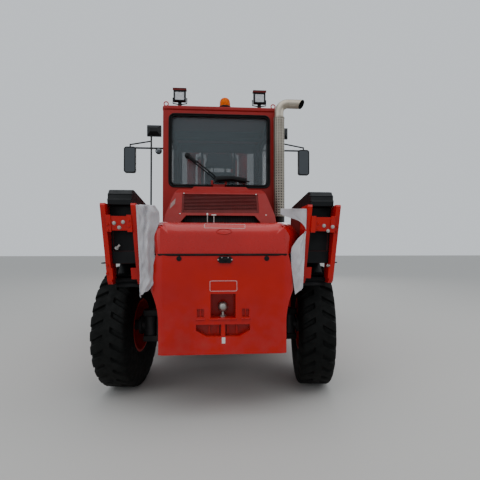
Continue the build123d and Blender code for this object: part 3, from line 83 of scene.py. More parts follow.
# %% The photographer's camera
IMAGE_SIZE = 480
FOCAL_PIXELS = 370.0
SENSOR = 36.0
EYE = Vector((-0.095, -7.475, 1.60))
YAW = math.radians(-4.17)
PITCH = math.radians(1.08)

camera_data = bpy.data.cameras.new("camera")
camera_data.sensor_width = SENSOR
camera_data.lens = FOCAL_PIXELS / IMAGE_SIZE * SENSOR
camera = bpy.data.objects.new("camera", camera_data)
bpy.context.scene.collection.objects.link(camera)
camera.location = EYE
camera.rotation_euler = (Matrix.Rotation(YAW, 4, "Z")
                         @ Matrix.Rotation(math.radians(90) + PITCH, 4, "X")).to_euler()
bpy.context.scene.camera = camera
print("lens", round(camera_data.lens, 2), "mm")

# %% [markdown]
# ## Floor and light
# A pale plain floor and large soft lamps stand in for the overcast sky of the yard. The big lamp
# overhead makes the soft highlights on the hood, and the world fills the shadows.

# %% Floor, sky and soft lamps
FLOOR_COLOUR = (0.46, 0.45, 0.43, 1.0)
SKY_COLOUR = (0.86, 0.91, 0.96, 1.0)
SKY_STRENGTH = 0.85


def node_material(name):
    """A material with an empty node tree but for its shader and output."""
    material = bpy.data.materials.new(name)
    material.use_nodes = True
    return material, material.node_tree, material.node_tree.nodes["Principled BSDF"]


floor_material, _, floor_shader = node_material("floor")
floor_shader.inputs["Base Color"].default_value = FLOOR_COLOUR
floor_shader.inputs["Roughness"].default_value = 0.85
bpy.ops.mesh.primitive_plane_add(size=120, location=(0, 0, 0))
floor = bpy.context.active_object
floor.name = "floor"
floor.data.materials.append(floor_material)
floor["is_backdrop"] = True

world = bpy.data.worlds.new("overcast")
bpy.context.scene.world = world
world.use_nodes = True
world.node_tree.nodes["Background"].inputs["Color"].default_value = SKY_COLOUR
world.node_tree.nodes["Background"].inputs["Strength"].default_value = SKY_STRENGTH

# name, place, aim, size, power
SOFT_LAMPS = (
    ("lamp_over", (0.0, -5.0, 9.0), (0.0, -1.5, 1.0), 9.0, 330.0),
    ("lamp_left", (-8.0, -9.0, 5.0), (0.0, -2.0, 1.5), 6.0, 190.0),
    ("lamp_right", (9.0, -4.0, 6.0), (0.0, -1.0, 1.5), 6.0, 150.0),
    ("lamp_front", (2.0, 11.0, 7.0), (0.0, 1.0, 1.5), 7.0, 300.0),
)
for lamp_name, place, aim, size, power in SOFT_LAMPS:
    lamp_data = bpy.data.lights.new(lamp_name, "AREA")
    lamp_data.size = size
    lamp_data.energy = power
    lamp = bpy.data.objects.new(lamp_name, lamp_data)
    bpy.context.scene.collection.objects.link(lamp)
    lamp.location = place
    lamp.rotation_euler = (Vector(aim) - Vector(place)).to_track_quat("-Z", "Y").to_euler()
print("lamps", len(SOFT_LAMPS))

# %% [markdown]
# ## How a finish is made
# A real surface is never one flat colour. Each finish here is a small tree of nodes: noise at a few
# scales breaks up colour and gloss the way handling, weather and casting skin do. Images would tie a
# finish to one unwrapped mesh, so nodes that read the object's own place are used instead.

# %% A helper that builds node trees


class Finish:
    """A material and short calls that add nodes to it."""

    def __init__(self, name):
        self.material, self.tree, self.shader = node_material(name)
        self.coordinates = self.add("ShaderNodeTexCoord").outputs["Object"]

    def add(self, kind, **inputs):
        node = self.tree.nodes.new(kind)
        for key, value in inputs.items():
            node.inputs[key].default_value = value
        return node

    def join(self, output, target):
        self.tree.links.new(output, target)

    def noise(self, scale, detail=4.0, stretch=(1, 1, 1)):
        node = self.add("ShaderNodeTexNoise", Scale=scale, Detail=detail)
        mapping = self.add("ShaderNodeMapping", Scale=stretch)
        self.join(self.coordinates, mapping.inputs["Vector"])
        self.join(mapping.outputs["Vector"], node.inputs["Vector"])
        return node.outputs["Fac"]

    def ramp(self, factor, low, high, low_colour=(0, 0, 0, 1), high_colour=(1, 1, 1, 1)):
        node = self.add("ShaderNodeValToRGB")
        for index, (position, colour) in enumerate(((low, low_colour), (high, high_colour))):
            node.color_ramp.elements[index].position = position
            node.color_ramp.elements[index].color = colour
        self.join(factor, node.inputs["Fac"])
        return node.outputs["Color"]

    def mix(self, factor, first, second):
        node = self.add("ShaderNodeMix")
        node.data_type = "RGBA"
        self.join(factor, node.inputs[0])
        for socket, value in ((node.inputs[6], first), (node.inputs[7], second)):
            if isinstance(value, tuple):
                socket.default_value = value
            else:
                self.join(value, socket)
        return node.outputs[2]

    def times(self, first, second):
        node = self.add("ShaderNodeMath")
        node.operation = "MULTIPLY"
        for index, value in enumerate((first, second)):
            if isinstance(value, float):
                node.inputs[index].default_value = value
            else:
                self.join(value, node.inputs[index])
        return node.outputs[0]

    def along(self, axis, low, high):
        """0 below a place along an axis and 1 above another, in the truck's own metres."""
        split = self.add("ShaderNodeSeparateXYZ")
        self.join(self.coordinates, split.inputs[0])
        span = self.add("ShaderNodeMapRange", **{"From Min": low, "From Max": high})
        self.join(split.outputs[axis], span.inputs["Value"])
        return span.outputs["Result"]

    def facing_up(self):
        """1 on faces that look up and 0 on the others."""
        split = self.add("ShaderNodeSeparateXYZ")
        self.join(self.add("ShaderNodeNewGeometry").outputs["Normal"], split.inputs[0])
        return self.ramp(split.outputs["Z"], 0.3, 0.95)

    def tones(self, low, high, scale, detail=4.0):
        """A colour that drifts between two tones over the surface."""
        return self.mix(self.ramp(self.noise(scale, detail), 0.3, 0.7), low, high)

    def colour(self, output):
        self.join(output, self.shader.inputs["Base Color"])

    def roughness(self, low, high, scale, detail=4.0, end=0.7):
        """Gloss that drifts between two values over the surface."""
        self.join(self.ramp(self.noise(scale, detail), 0.3, end, grey(low), grey(high)),
                  self.shader.inputs["Roughness"])

    def dusty_below(self, low, high):
        """1 at the foot of a range of heights and 0 above it."""
        return self.ramp(self.along("Z", low, high), 0.0, 1.0, grey(1), grey(0))

    def bump(self, height, distance, strength=0.4):
        node = self.add("ShaderNodeBump", Strength=strength, Distance=distance)
        self.join(height, node.inputs["Height"])
        self.join(node.outputs["Normal"], self.shader.inputs["Normal"])

    def set(self, **sockets):
        for name, value in sockets.items():
            self.shader.inputs[name.replace("_", " ")].default_value = value


def grey(value):
    return (value, value, value, 1.0)


finishes = {}
print("finish helper ready")

# %% [markdown]
# ## Red and black enamel
# The truck is sprayed in one deep signal red, over thick plate and rough castings. Close to, the
# coat has a faint orange peel, a little mottling, a slightly paler tone on faces that look up, and
# road dust low down. One function makes every enamel, so that red, the red darkened to paint shade
# and black age in the same way.

# %% Enamels
DUST = (0.15, 0.12, 0.10, 1.0)
# share and colour of the paler, pinker tone that faces looking up are mixed towards
UPWARD_PALE_SHARE, UPWARD_PALE_COLOUR = 0.05, (0.26, 0.16, 0.14, 1.0)
# the hood and cab get a deeper, duller red than the castings, and the tail cover is polished
OTHER_FINISHES = {"cab_paint": ("cab_rear_wall", "cab_front_wall", "cab_sides", "cab_roof", "door_left",
                           "door_right", "engine_hood", "hood_base"),
             "cover_paint": ("tail_cover",)}


def enamel(name, colour, shade, roughness=0.30, coat=0.12, dust=0.25, skin=0.0006):
    """Sprayed paint over plate or casting: faint mottling, orange peel, dust towards the floor, and a paler
    tone on faces that look up.
    """
    finish = Finish(name)
    mottled = finish.mix(finish.ramp(finish.noise(2.2), 0.35, 0.65), colour, shade)
    low_dust = finish.times(finish.dusty_below(0.2, 1.3), dust)
    dusty = finish.times(low_dust, finish.ramp(finish.noise(9.0, 8.0), 0.40, 0.75))
    # faces that look up are mixed a little towards a paler, pinker tone
    upward_pale = finish.times(finish.facing_up(), finish.ramp(finish.noise(3.5, 7.0), 0.3, 0.9))
    painted = finish.mix(finish.times(upward_pale, UPWARD_PALE_SHARE), mottled, UPWARD_PALE_COLOUR)
    finish.colour(finish.mix(dusty, painted, DUST))
    finish.roughness(roughness, min(roughness + 0.18, 1.0), 14.0, 6.0, end=0.8)
    finish.set(Coat_Weight=coat, Coat_Roughness=0.12, Specular_IOR_Level=0.3)
    finish.bump(finish.noise(160.0, 2.0), skin, 0.25)
    return finish.material


RED = (0.43, 0.0020, 0.0008, 1.0)
RED_SHADE = (0.36, 0.0016, 0.0006, 1.0)
# the red paint darkened to paint shade, for the grille, its mesh and the lamp visors
SHADED_RED = (0.105, 0.0030, 0.0020, 1.0)
SHADED_RED_DEEP = (0.075, 0.0022, 0.0016, 1.0)
BLACK = (0.0035, 0.0038, 0.0044, 1.0)
BLACK_SHADE = (0.0060, 0.0062, 0.0070, 1.0)
RED_UPPER = (0.235, 0.0022, 0.0010, 1.0)
RED_UPPER_SHADE = (0.200, 0.0018, 0.0008, 1.0)
# finish, name, colour and its shade, then what differs from plain enamel
ENAMELS = (
    ("red_paint", "red_enamel", RED, RED_SHADE, {}),
    ("cab_paint", "cab_enamel", RED_UPPER, RED_UPPER_SHADE, {"roughness": 0.45, "coat": 0.0, "dust": 0.0}),
    ("cover_paint", "cover_enamel", RED, RED_SHADE,
     {"roughness": 0.22, "coat": 0.42, "dust": 0.0, "skin": 0.0003}),
    ("grille_paint", "grille_enamel", SHADED_RED, SHADED_RED_DEEP,
     {"roughness": 0.6, "coat": 0.0, "dust": 0.0}),
    ("rim_paint", "rim_enamel", RED, RED_SHADE, {"roughness": 0.42, "coat": 0.1, "dust": 0.5}),
    ("dark_paint", "black_enamel", BLACK, BLACK_SHADE, {"roughness": 0.38, "coat": 0.05, "dust": 0.3}),
)
for key, name, colour, shade, differing in ENAMELS:
    finishes[key] = enamel(name, colour, shade, **differing)
print("enamels", len(finishes))

# %% [markdown]
# ## Plastic, iron and steel
# Moulded lids and lamp housings are grained black plastic, the knuckles rough cast iron, the chains
# and pins bare steel, and the exhaust stainless steel that heat has turned brown. They differ only in
# colour, gloss, metal and the scale of their grain, so one function and a short table make them all.

# %% Plastics and metals


def grained(name, colour, roughness, metallic, grain, depth, shade):
    """Plastic, iron or steel with a fine grain and slight variation in tone and gloss."""
    finish = Finish(name)
    darker = tuple(channel * shade for channel in colour) + (1.0,)
    finish.colour(finish.tones(darker, colour + (1.0,), 6.0, 6.0))
    finish.roughness(roughness * 0.8, min(roughness * 1.2, 1.0), 11.0, 5.0)
    finish.set(Metallic=metallic, Specular_IOR_Level=0.5 if metallic else 0.2)
    finish.bump(finish.noise(grain, 3.0), depth, 0.4)
    return finish.material


# finish, name, colour, roughness, metal, scale and depth of its grain, its darker tone as a share
GRAINED = (
    ("moulding", "moulded_plastic", (0.0045, 0.0055, 0.0065), 0.50, 0.0, 240.0, 0.0004, 0.7),
    ("seal", "rubber_seal", (0.0022, 0.0024, 0.0026), 0.65, 0.0, 90.0, 0.0005, 0.7),
    ("lining", "cab_lining", (0.030, 0.033, 0.036), 0.80, 0.0, 300.0, 0.0005, 0.7),
    ("steel", "bare_steel", (0.40, 0.39, 0.36), 0.38, 0.9, 120.0, 0.0005, 0.7),
    ("stainless", "stainless_steel", (0.33, 0.30, 0.25), 0.38, 0.75, 200.0, 0.0002, 0.72),
    ("soot", "sooted_pipe", (0.0040, 0.0036, 0.0032), 0.90, 0.0, 90.0, 0.0005, 0.5),
    ("chrome", "hard_chrome", (0.72, 0.72, 0.73), 0.12, 1.0, 400.0, 0.0001, 0.9),
    ("zinc", "zinc_plate", (0.52, 0.51, 0.49), 0.32, 0.85, 300.0, 0.0002, 0.75),
    ("iron", "cast_iron", (0.045, 0.046, 0.048), 0.62, 0.4, 70.0, 0.0015, 0.7),
    ("mirror", "mirror_silver", (0.080, 0.086, 0.092), 0.10, 1.0, 2.0, 0.0001, 0.97),
    ("blank_white", "blank_plate", (0.62, 0.61, 0.59), 0.45, 0.0, 40.0, 0.0002, 0.9),
    # the cheek plates' white, darkened and tinted to paint the shade on the hood's back
    ("faded_white", "faded_plate", (0.24, 0.150, 0.140), 0.45, 0.0, 40.0, 0.0002, 0.9),
)
for key, name, *values in GRAINED:
    finishes[key] = grained(name, *values)
print("grained", len(GRAINED))

# %% [markdown]
# ## Rubber
# The tyres are near black above and greyer low down, where dust stays. The mask is the height above
# the floor, broken up by noise, and it is read from the tyre's own place.

# %% Tyre rubber
RUBBER_LOW, RUBBER_HIGH = (0.0022, 0.0026, 0.0024, 1.0), (0.0050, 0.0056, 0.0052, 1.0)
RUBBER_DUST, RUBBER_DUSTY = (0.045, 0.039, 0.032, 1.0), 0.25


def rubber():
    finish = Finish("tyre_rubber")
    black = finish.tones(RUBBER_LOW, RUBBER_HIGH, 12.0, 6.0)
    dusty = finish.times(finish.dusty_below(0.02, 0.5), finish.ramp(finish.noise(7.0, 8.0), 0.35, 0.8))
    finish.set(Specular_IOR_Level=0.15)
    finish.colour(finish.mix(finish.times(dusty, RUBBER_DUSTY), black, RUBBER_DUST))
    finish.roughness(0.62, 0.85, 20.0)
    finish.bump(finish.noise(90.0, 4.0), 0.001, 0.4)
    return finish.material


finishes["tyre"] = rubber()
print("rubber ready")

# %% [markdown]
# ## Glass, lenses and cloth
# The cab's panes are lightly tinted and reflect the sky, so they look grey from outside. Alpha with a
# glossy coat survives export better than true refraction. Lenses are clear or amber. The protective
# sheets are thin spun cloth that lets some light through, and the seat has a coarse woven cover.

# %% See-through and woven finishes


def pane(name, tint, alpha, roughness=0.05):
    finish = Finish(name)
    finish.set(Base_Color=tint, Roughness=roughness, Alpha=alpha, IOR=1.45)
    finish.bump(finish.noise(1.3, 1.0), 0.002, 0.05)
    return finish.material


def lens(name, low, high, shine):
    """A ribbed lens: narrow upright flutes across it, and slow changes of tone."""
    finish = Finish(name)
    finish.colour(finish.tones(low, high, 30.0))
    finish.set(Roughness=0.14, Specular_IOR_Level=shine)
    flutes = finish.add("ShaderNodeTexWave", Scale=18.0)
    finish.join(finish.coordinates, flutes.inputs["Vector"])
    finish.bump(flutes.outputs["Fac"], 0.002, 0.5)
    return finish.material


def woven(name, low, high, threads, depth, translucency=0.0):
    """Two crossed sets of threads over slow changes of tone."""
    finish = Finish(name)
    finish.colour(finish.tones(low, high, 5.0, 5.0))
    finish.set(Roughness=0.85, Subsurface_Weight=translucency)
    warp = finish.add("ShaderNodeTexWave", Scale=threads, Distortion=1.5)
    weft = finish.add("ShaderNodeTexWave", Scale=threads, Distortion=1.5)
    weft.bands_direction = "Z"
    for threads_node in (warp, weft):
        finish.join(finish.coordinates, threads_node.inputs["Vector"])
    finish.bump(finish.times(warp.outputs["Fac"], weft.outputs["Fac"]), depth, 0.5)
    return finish.material


GLASS_TINT, GLASS_ALPHA = (0.078, 0.100, 0.110, 1.0), 0.44
# finish, name, two tones, shine
LENSES = (("amber", "amber_lens", (0.42, 0.060, 0.0, 1.0), (0.66, 0.125, 0.0, 1.0), 0.06),
          ("clear_lens", "clear_lens", (0.34, 0.36, 0.38, 1.0), (0.50, 0.52, 0.54, 1.0), 0.5))
# finish, name, two tones, threads, their depth, how much light comes through
CLOTHS = (
    ("sheet", "spun_cloth", (0.36, 0.34, 0.355, 1.0), (0.54, 0.52, 0.545, 1.0), 260.0, 0.0004, 0.04),
    ("seat_cloth", "seat_weave", (0.020, 0.024, 0.027, 1.0), (0.036, 0.042, 0.047, 1.0), 120.0, 0.0008, 0.0),
)
finishes["glass"] = pane("cab_glass_tint", GLASS_TINT, GLASS_ALPHA)
for key, *values in LENSES:
    finishes[key] = lens(*values)
for key, *values in CLOTHS:
    finishes[key] = woven(*values)
finish_of_node = dict(slot_of_node)
for finish_name, nodes in OTHER_FINISHES.items():
    finish_of_node.update((node, finish_name) for node in nodes)
for node, part in frame["nodes"].items():
    part.data.materials.clear()
    part.data.materials.append(finishes[finish_of_node[node]])
print("finishes", len(finishes))

# %% [markdown]
# ## Rounded edges
# Nothing on a real truck has a knife edge: castings have radii, plates are dressed with a grinder
# and covers are pressed. A rounded edge catches a thin line of light, and without it metal looks like
# card. Each hard solid gets a copy whose edges are bevelled, and the copy is shown instead. Inside
# the cab the walls are lined, so faces that look into it take a second, dark finish.

# %% Bevelled copies of the hard solids
SHARP_ANGLE = math.radians(28)
CAB_INSIDE = (Vector((-0.79, -2.20, 1.50)), Vector((0.79, -0.50, 3.545)))


def own_mesh(node):
    """A clean copy of a node's mesh, its flat faces joined up."""
    mesh = frame["nodes"][node].data.copy()
    work = bmesh.new()
    work.from_mesh(mesh)
    bmesh.ops.remove_doubles(work, verts=work.verts, dist=0.00005)
    bmesh.ops.dissolve_limit(work, angle_limit=math.radians(0.6), verts=work.verts, edges=work.edges)
    work.to_mesh(mesh)
    work.free()
    return mesh


def show(piece, beside, replaced=()):
    """Put a piece in the scene, on the body of the node beside it."""
    if piece.name not in bpy.context.scene.collection.objects:
        bpy.context.scene.collection.objects.link(piece)
    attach(piece, body_of_node[beside])
    if replaced:
        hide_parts(*replaced)
    return piece


def looks_into_cab(face):
    low, high = CAB_INSIDE
    return all(low[i] < face.center[i] < high[i] for i in range(3))


def dress(node, width, segments=2, second=None, where=None, shape=None):
    """A bevelled copy of one node, with a second finish on the faces that a test picks."""
    mesh = own_mesh(node)
    mesh.name = "dressed_" + node
    if shape:
        shape(mesh)
    piece = bpy.data.objects.new("dressed_" + node, mesh)
    bevel = piece.modifiers.new("edges", "BEVEL")
    bevel.width = width
    bevel.segments = segments
    bevel.limit_method = "ANGLE"
    bevel.angle_limit = SHARP_ANGLE
    for face in mesh.polygons:
        face.use_smooth = True
    mesh.set_sharp_from_angle(angle=SHARP_ANGLE)
    mesh.materials.clear()
    mesh.materials.append(finishes[finish_of_node[node]])
    if second:
        mesh.materials.append(finishes[second])
        for face in mesh.polygons:
            face.material_index = int(where(face))
    return show(piece, node, (node,))


# width of the rounded edge: the nodes that have it
EDGES = {
    0.014: ("counterweight", "cab_roof"),
    0.010: ("engine_hood", "side_tanks"),
    0.007: ("fork_left", "fork_right", "steer_axle"),
    0.005: ("mast_outer", "mast_inner", "carriage", "hood_base", "box_lids", "knuckle_left", "knuckle_right"),
    0.004: ("frame", "rear_stays", "deck", "lift_barrels", "tilt_barrels", "engine_block", "drive_axle"),
    0.002: ("mudguards", "work_lamps", "steering_column", "mirrors_and_rails"),
}
for width, nodes in EDGES.items():
    for node in nodes:
        dress(node, width)
CAB_WALLS = ("cab_rear_wall", "cab_front_wall", "cab_sides", "door_left", "door_right")
WALL_EDGE, BOX_EDGE = 0.008, 0.007
for node in CAB_WALLS:
    dress(node, WALL_EDGE, second="lining", where=looks_into_cab)
dress("side_boxes", BOX_EDGE, second="moulding", where=lambda face: face.normal.y < -0.5)
print("dressed", len(CAB_WALLS) + 1 + sum(len(nodes) for nodes in EDGES.values()), "nodes")

# %% [markdown]
# ## A maker of small parts
# Bolts, plates, pins and brackets come in hundreds, and each is too small for a file of its own. They
# could be separate objects, but a builder that gathers all those of one finish into one mesh keeps
# the scene light. It knows four shapes: a block, a turned part, a bolt and a tube along a path.

# %% Small parts gathered into one piece
SMALL_SHARP = math.radians(35)


def piece_from(work, name, finish, sharp=SMALL_SHARP):
    """A smooth piece of one finish from the faces gathered so far, not yet in the scene."""
    bmesh.ops.recalc_face_normals(work, faces=work.faces)
    mesh = bpy.data.meshes.new(name)
    work.to_mesh(mesh)
    work.free()
    for face in mesh.polygons:
        face.use_smooth = True
    if sharp:
        mesh.set_sharp_from_angle(angle=sharp)
    mesh.materials.append(finishes[finish])
    return bpy.data.objects.new(name, mesh)


class Trim:
    """Small parts of one finish on one body, gathered into one piece."""

    def __init__(self, name, finish, beside):
        self.name, self.finish, self.beside = name, finish, beside
        self.work = bmesh.new()

    def block(self, low, high, turn=0.0):
        """A box between two corners, turned about its own middle by an angle in degrees."""
        low, high = Vector(low), Vector(high)
        size = Matrix.Diagonal((*(high - low), 1))
        spin = Matrix.Rotation(math.radians(turn), 4, "Z")
        bmesh.ops.create_cube(self.work, size=1, matrix=Matrix.Translation((low + high) / 2) @ spin @ size)

    def turned(self, rows, where, along=(0, 0, 1), sides=20):
        """A round part from rows of (distance along its axis, radius)."""
        matrix = Matrix.Translation(where) @ Vector(along).to_track_quat("Z", "Y").to_matrix().to_4x4()
        rings = []
        for reach, radius in rows:
            ring = []
            for index in range(sides):
                angle = 2 * math.pi * index / sides
                place = Vector((radius * math.cos(angle), radius * math.sin(angle), reach))
                ring.append(self.work.verts.new(matrix @ place))
            rings.append(ring)
        self.skin(rings, closed=False)

    def bolt(self, where, along, across, height):
        """A hexagon head on its washer."""
        washer = 0.003
        self.turned([(0, 0.72 * across), (washer, 0.72 * across)], where, along, 16)
        self.turned([(washer, 0.55 * across), (height, 0.55 * across), (height + 0.002, 0.46 * across)],
                    where, along, 6)

    def tube(self, points, radius, sides=10, closed=False):
        """A tube, or with 4 sides a square bar, along a path of points."""
        points = [Vector(point) for point in points]
        count = len(points)
        rings, side = [], None
        for index, point in enumerate(points):
            before = points[index - 1] if index or closed else point
            after = points[(index + 1) % count] if index + 1 < count or closed else point
            ahead = (after - before).normalized()
            if side is None:
                side = ahead.orthogonal().normalized()
            side = (side - side.dot(ahead) * ahead).normalized()
            across = ahead.cross(side)
            ring = []
            for corner in range(sides):
                angle = 2 * math.pi * (corner + 0.5) / sides
                ring.append(self.work.verts.new(point + radius * (math.cos(angle) * side
                                                                  + math.sin(angle) * across)))
            rings.append(ring)
        self.skin(rings, closed)

    def skin(self, rings, closed):
        """Faces between rings of points, with the first and last ring filled unless it is closed."""
        sides = len(rings[0])
        pairs = list(zip(rings, rings[1:])) + ([(rings[-1], rings[0])] if closed else [])
        for first, second in pairs:
            for index in range(sides):
                following = (index + 1) % sides
                self.work.faces.new((first[index], first[following], second[following], second[index]))
        if not closed:
            self.work.faces.new(list(reversed(rings[0])))
            self.work.faces.new(rings[-1])

    def done(self, bevel=0.0, replaced=()):
        """The gathered parts as one piece in the scene, with their edges rounded by a width."""
        piece = piece_from(self.work, self.name, self.finish)
        if bevel:
            rounding = piece.modifiers.new("edges", "BEVEL")
            rounding.width = bevel
            rounding.segments = 2
            rounding.limit_method = "ANGLE"
            rounding.angle_limit = SMALL_SHARP
        print(self.name, len(piece.data.polygons), "faces")
        return show(piece, self.beside, replaced)


def both_sides(x):
    """A place on the left and its twin on the right."""
    return (-x, x)


def circle(radius, steps):
    """Pairs of distances from a middle to points round a circle."""
    return [(radius * math.cos(2 * math.pi * step / steps), radius * math.sin(2 * math.pi * step / steps))
            for step in range(steps)]


def rounded_loop(low, high, corner, y, steps=6):
    """The points of an upright rounded rectangle at a depth, from two (x, z) corners."""
    middles = ((high[0] - corner, high[1] - corner), (low[0] + corner, high[1] - corner),
               (low[0] + corner, low[1] + corner), (high[0] - corner, low[1] + corner))
    points = []
    for quarter, (x, z) in enumerate(middles):
        for step in range(steps + 1):
            angle = math.pi / 2 * (quarter + step / steps)
            points.append((x + corner * math.cos(angle), y, z + corner * math.sin(angle)))
    return points


print("trim maker ready")

# %% [markdown]
# ## Tyres
# Each tyre has deep slanting bars that meet an unbroken middle band, staggered from one side to the
# other, over a bulging wall. A texture can't show the notched outline at the shoulder, which is what
# the eye sees from behind, so the bars are real. Rings of points run round the tyre, one for each row
# of its cross-section, and those that fall in a groove are drawn in. The rings also lean with their
# distance from the middle, which slants the bars.

# %% The tyre's own mesh
BARS = 28
COLUMNS_IN_BAR = 12
GROOVE_COLUMNS = (8, 9, 10, 11)
GROOVE_DEPTH = 0.024
BAR_SLANT = 0.16
TREAD_HALF = 0.1925
# share of the half width, radius, share of the groove's depth: from the inner bead out to the middle
SECTION = (
    (0.80, 0.3055, 0.0), (0.80, 0.330, 0.0), (0.875, 0.352, 0.0), (0.955, 0.420, 0.0), (1.0, 0.505, 0.0),
    (0.995, 0.560, 0.0), (0.975, 0.600, 0.0), (0.960, 0.618, 0.5), (0.935, 0.643, 1.0), (0.900, 0.662, 1.0),
    (0.840, 0.676, 1.0), (0.740, 0.684, 1.0), (0.450, 0.685, 1.0), (0.240, 0.685, 1.0), (0.170, 0.685, 0.0),
    (0.0, 0.685, 0.0),
)


def tyre_rings(work, x_middle):
    """Add one tyre about the X axis to a mesh."""
    columns = BARS * COLUMNS_IN_BAR
    rows = [(-1, *row) for row in SECTION] + [(1, *row) for row in reversed(SECTION[:-1])]
    rings = []
    for side, share, radius, depth in rows:
        ring = []
        shift = 0 if side < 0 else COLUMNS_IN_BAR // 2
        for column in range(columns):
            groove = (column + shift) % COLUMNS_IN_BAR in GROOVE_COLUMNS
            reach = radius - (GROOVE_DEPTH * depth if groove else 0.0)
            angle = 2 * math.pi * column / columns + BAR_SLANT * share
            ring.append(work.verts.new((x_middle + side * share * TREAD_HALF, reach * math.cos(angle),
                                        reach * math.sin(angle))))
        rings.append(ring)
    for first, second in zip(rings, rings[1:]):
        for column in range(columns):
            following = (column + 1) % columns
            work.faces.new((first[column], second[column], second[following], first[following]))


def tyre_piece(node, middles, turn):
    """The tyres of one node, in its place, turned as the wheel stands."""
    work = bmesh.new()
    for x_middle in middles:
        tyre_rings(work, x_middle)
    piece = piece_from(work, "lugged_" + node, "tyre")
    low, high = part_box(node)
    piece.data.transform(Matrix.Translation((low + high) / 2) @ Matrix.Rotation(turn, 4, "Z"))
    show(piece, node, (node,))


# %% Place the six tyres
axes = {joint["name"]: joint["axis"] for joint in frame["record"]["behaviour"]["joints"]}
for side in ("left", "right"):
    axis = axes["roll_rear_" + side]
    tyre_piece("tyre_rear_" + side, (0.0,), math.atan2(axis[1], axis[0]))
    low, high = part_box("tyres_front_" + side)
    half_gap = (high.x - low.x) / 2 - TREAD_HALF
    tyre_piece("tyres_front_" + side, (-half_gap, half_gap), 0.0)
print("tyre blocks", 6 * 2 * BARS)

# %% [markdown]
# ## Rims, hubs and wheel nuts
# A rim is a red disc in a ring, held by a circle of nuts round the hub. The discs are already turned
# solids, so they only need rounded edges, and the nuts are added round them by a loop. The rear wheels
# stand turned a few degrees, so their nuts are placed in the wheel's own frame and turned with it.

# %% Wheel nuts
REAR_NUTS, REAR_NUT_CIRCLE, REAR_DISC_OUT, REAR_RIM_EDGE = 12, 0.175, 0.050, 0.004
FRONT_NUTS, FRONT_NUT_CIRCLE, FRONT_DISC, FRONT_RIM_EDGE = 16, 0.215, 1.2225, 0.005
NUT_ACROSS, NUT_HIGH, STUD_SHAPE = 0.034, 0.026, ((0, 0.010), (0.042, 0.010), (0.045, 0.008))
Z_AXLE = sum(corner.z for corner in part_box("tyre_rear_left")) / 2


def nut_circle(trim, middle, outward, count, radius):
    """Studs and nuts on a circle round a wheel's axis."""
    side = Vector((0, 0, 1)).cross(outward)
    for index in range(count):
        angle = 2 * math.pi * (index + 0.5) / count
        where = middle + radius * (math.cos(angle) * side + math.sin(angle) * Vector((0, 0, 1)))
        trim.bolt(where, outward, NUT_ACROSS, NUT_HIGH)
        trim.turned(STUD_SHAPE, where, outward, 10)


for side, sign in (("left", -1), ("right", 1)):
    dress("rim_rear_" + side, REAR_RIM_EDGE)
    dress("rim_front_" + side, FRONT_RIM_EDGE)
    low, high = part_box("tyre_rear_" + side)
    middle = (low + high) / 2
    outward = sign * Vector(axes["roll_rear_" + side]).normalized()
    nuts = Trim("rear_nuts_" + side, "zinc", "rim_rear_" + side)
    nut_circle(nuts, middle + REAR_DISC_OUT * outward, outward, REAR_NUTS, REAR_NUT_CIRCLE)
    nuts.done(0)
    middle_y = sum(corner.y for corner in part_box("tyres_front_" + side)) / 2
    nuts = Trim("front_nuts_" + side, "zinc", "rim_front_" + side)
    nut_circle(nuts, Vector((sign * FRONT_DISC, middle_y, Z_AXLE)), Vector((sign, 0, 0)), FRONT_NUTS,
               FRONT_NUT_CIRCLE)
    nuts.done(0)

# %% [markdown]
# ## Finding the surface
# A plate or bolt looks right only when it sits exactly on what carries it. Rather than copy surface
# positions by hand, a line is cast at the finished piece, and the part goes where it lands. For parts
# that the picture shows clearly, the line leaves the camera through the pixel where they are seen.

# %% Lines cast at a piece
from mathutils.bvhtree import BVHTree

surfaces = {}


def surface(piece_name):
    if piece_name not in surfaces:
        graph = bpy.context.evaluated_depsgraph_get()
        surfaces[piece_name] = BVHTree.FromObject(bpy.data.objects[piece_name], graph)
    return surfaces[piece_name]


def touch(piece_name, start, towards):
    """Where a line first meets a piece, and which way the surface looks there."""
    where, facing, _, _ = surface(piece_name).ray_cast(Vector(start), Vector(towards))
    return where, facing


def sight(across, down):
    """The direction in which the camera sees a pixel of the picture."""
    half = IMAGE_SIZE / 2
    view = Vector(((across - half) / FOCAL_PIXELS, (half - down) / FOCAL_PIXELS, -1))
    return (camera.rotation_euler.to_matrix() @ view).normalized()


def seen_on(piece_name, pixels, lift=0.001):
    """Points on a piece, just proud of it, where the camera sees a row of pixels, or nearest to there."""
    corners = [Vector(corner) for corner in bpy.data.objects[piece_name].bound_box]
    reach = (sum(corners, Vector()) / 8 - EYE).length
    places = []
    for across, down in pixels:
        where, facing = touch(piece_name, EYE, sight(across, down))
        if where is None:
            where, facing, _, _ = surface(piece_name).find_nearest(EYE + reach * sight(across, down))
        places.append(where + lift * facing)
    return places


def at_depth(across, down, y):
    """The point at a depth where the camera sees a pixel."""
    aim = sight(across, down)
    return EYE + aim * ((y - EYE.y) / aim.y)


print("line from the eye to the tail", touch("dressed_counterweight", EYE, sight(224, 270))[0])

# %% [markdown]
# ## The tail cover's soft shoulder
# The cover over the counterweight rolls over from its upright back to its top in one broad curve,
# and that curve mirrors the sky as the brightest band of the whole tail. The measured solid has a
# plain edge there. A wide many-step bevel of that edge alone gives the curve, and the other edges
# keep a small one.

# %% Roll the cover's upper edge
COVER_ROLL, ROLL_STEPS, COVER_EDGE = 0.110, 8, 0.014
MERGE, FLAT_ENOUGH = 0.0002, math.radians(4)
ROLL_ABOVE, ROLL_BEHIND = 1.78, -3.40
WALL_UP, TOP_UP = 0.4, 0.7      # the most a wall, and the least a top, may look up


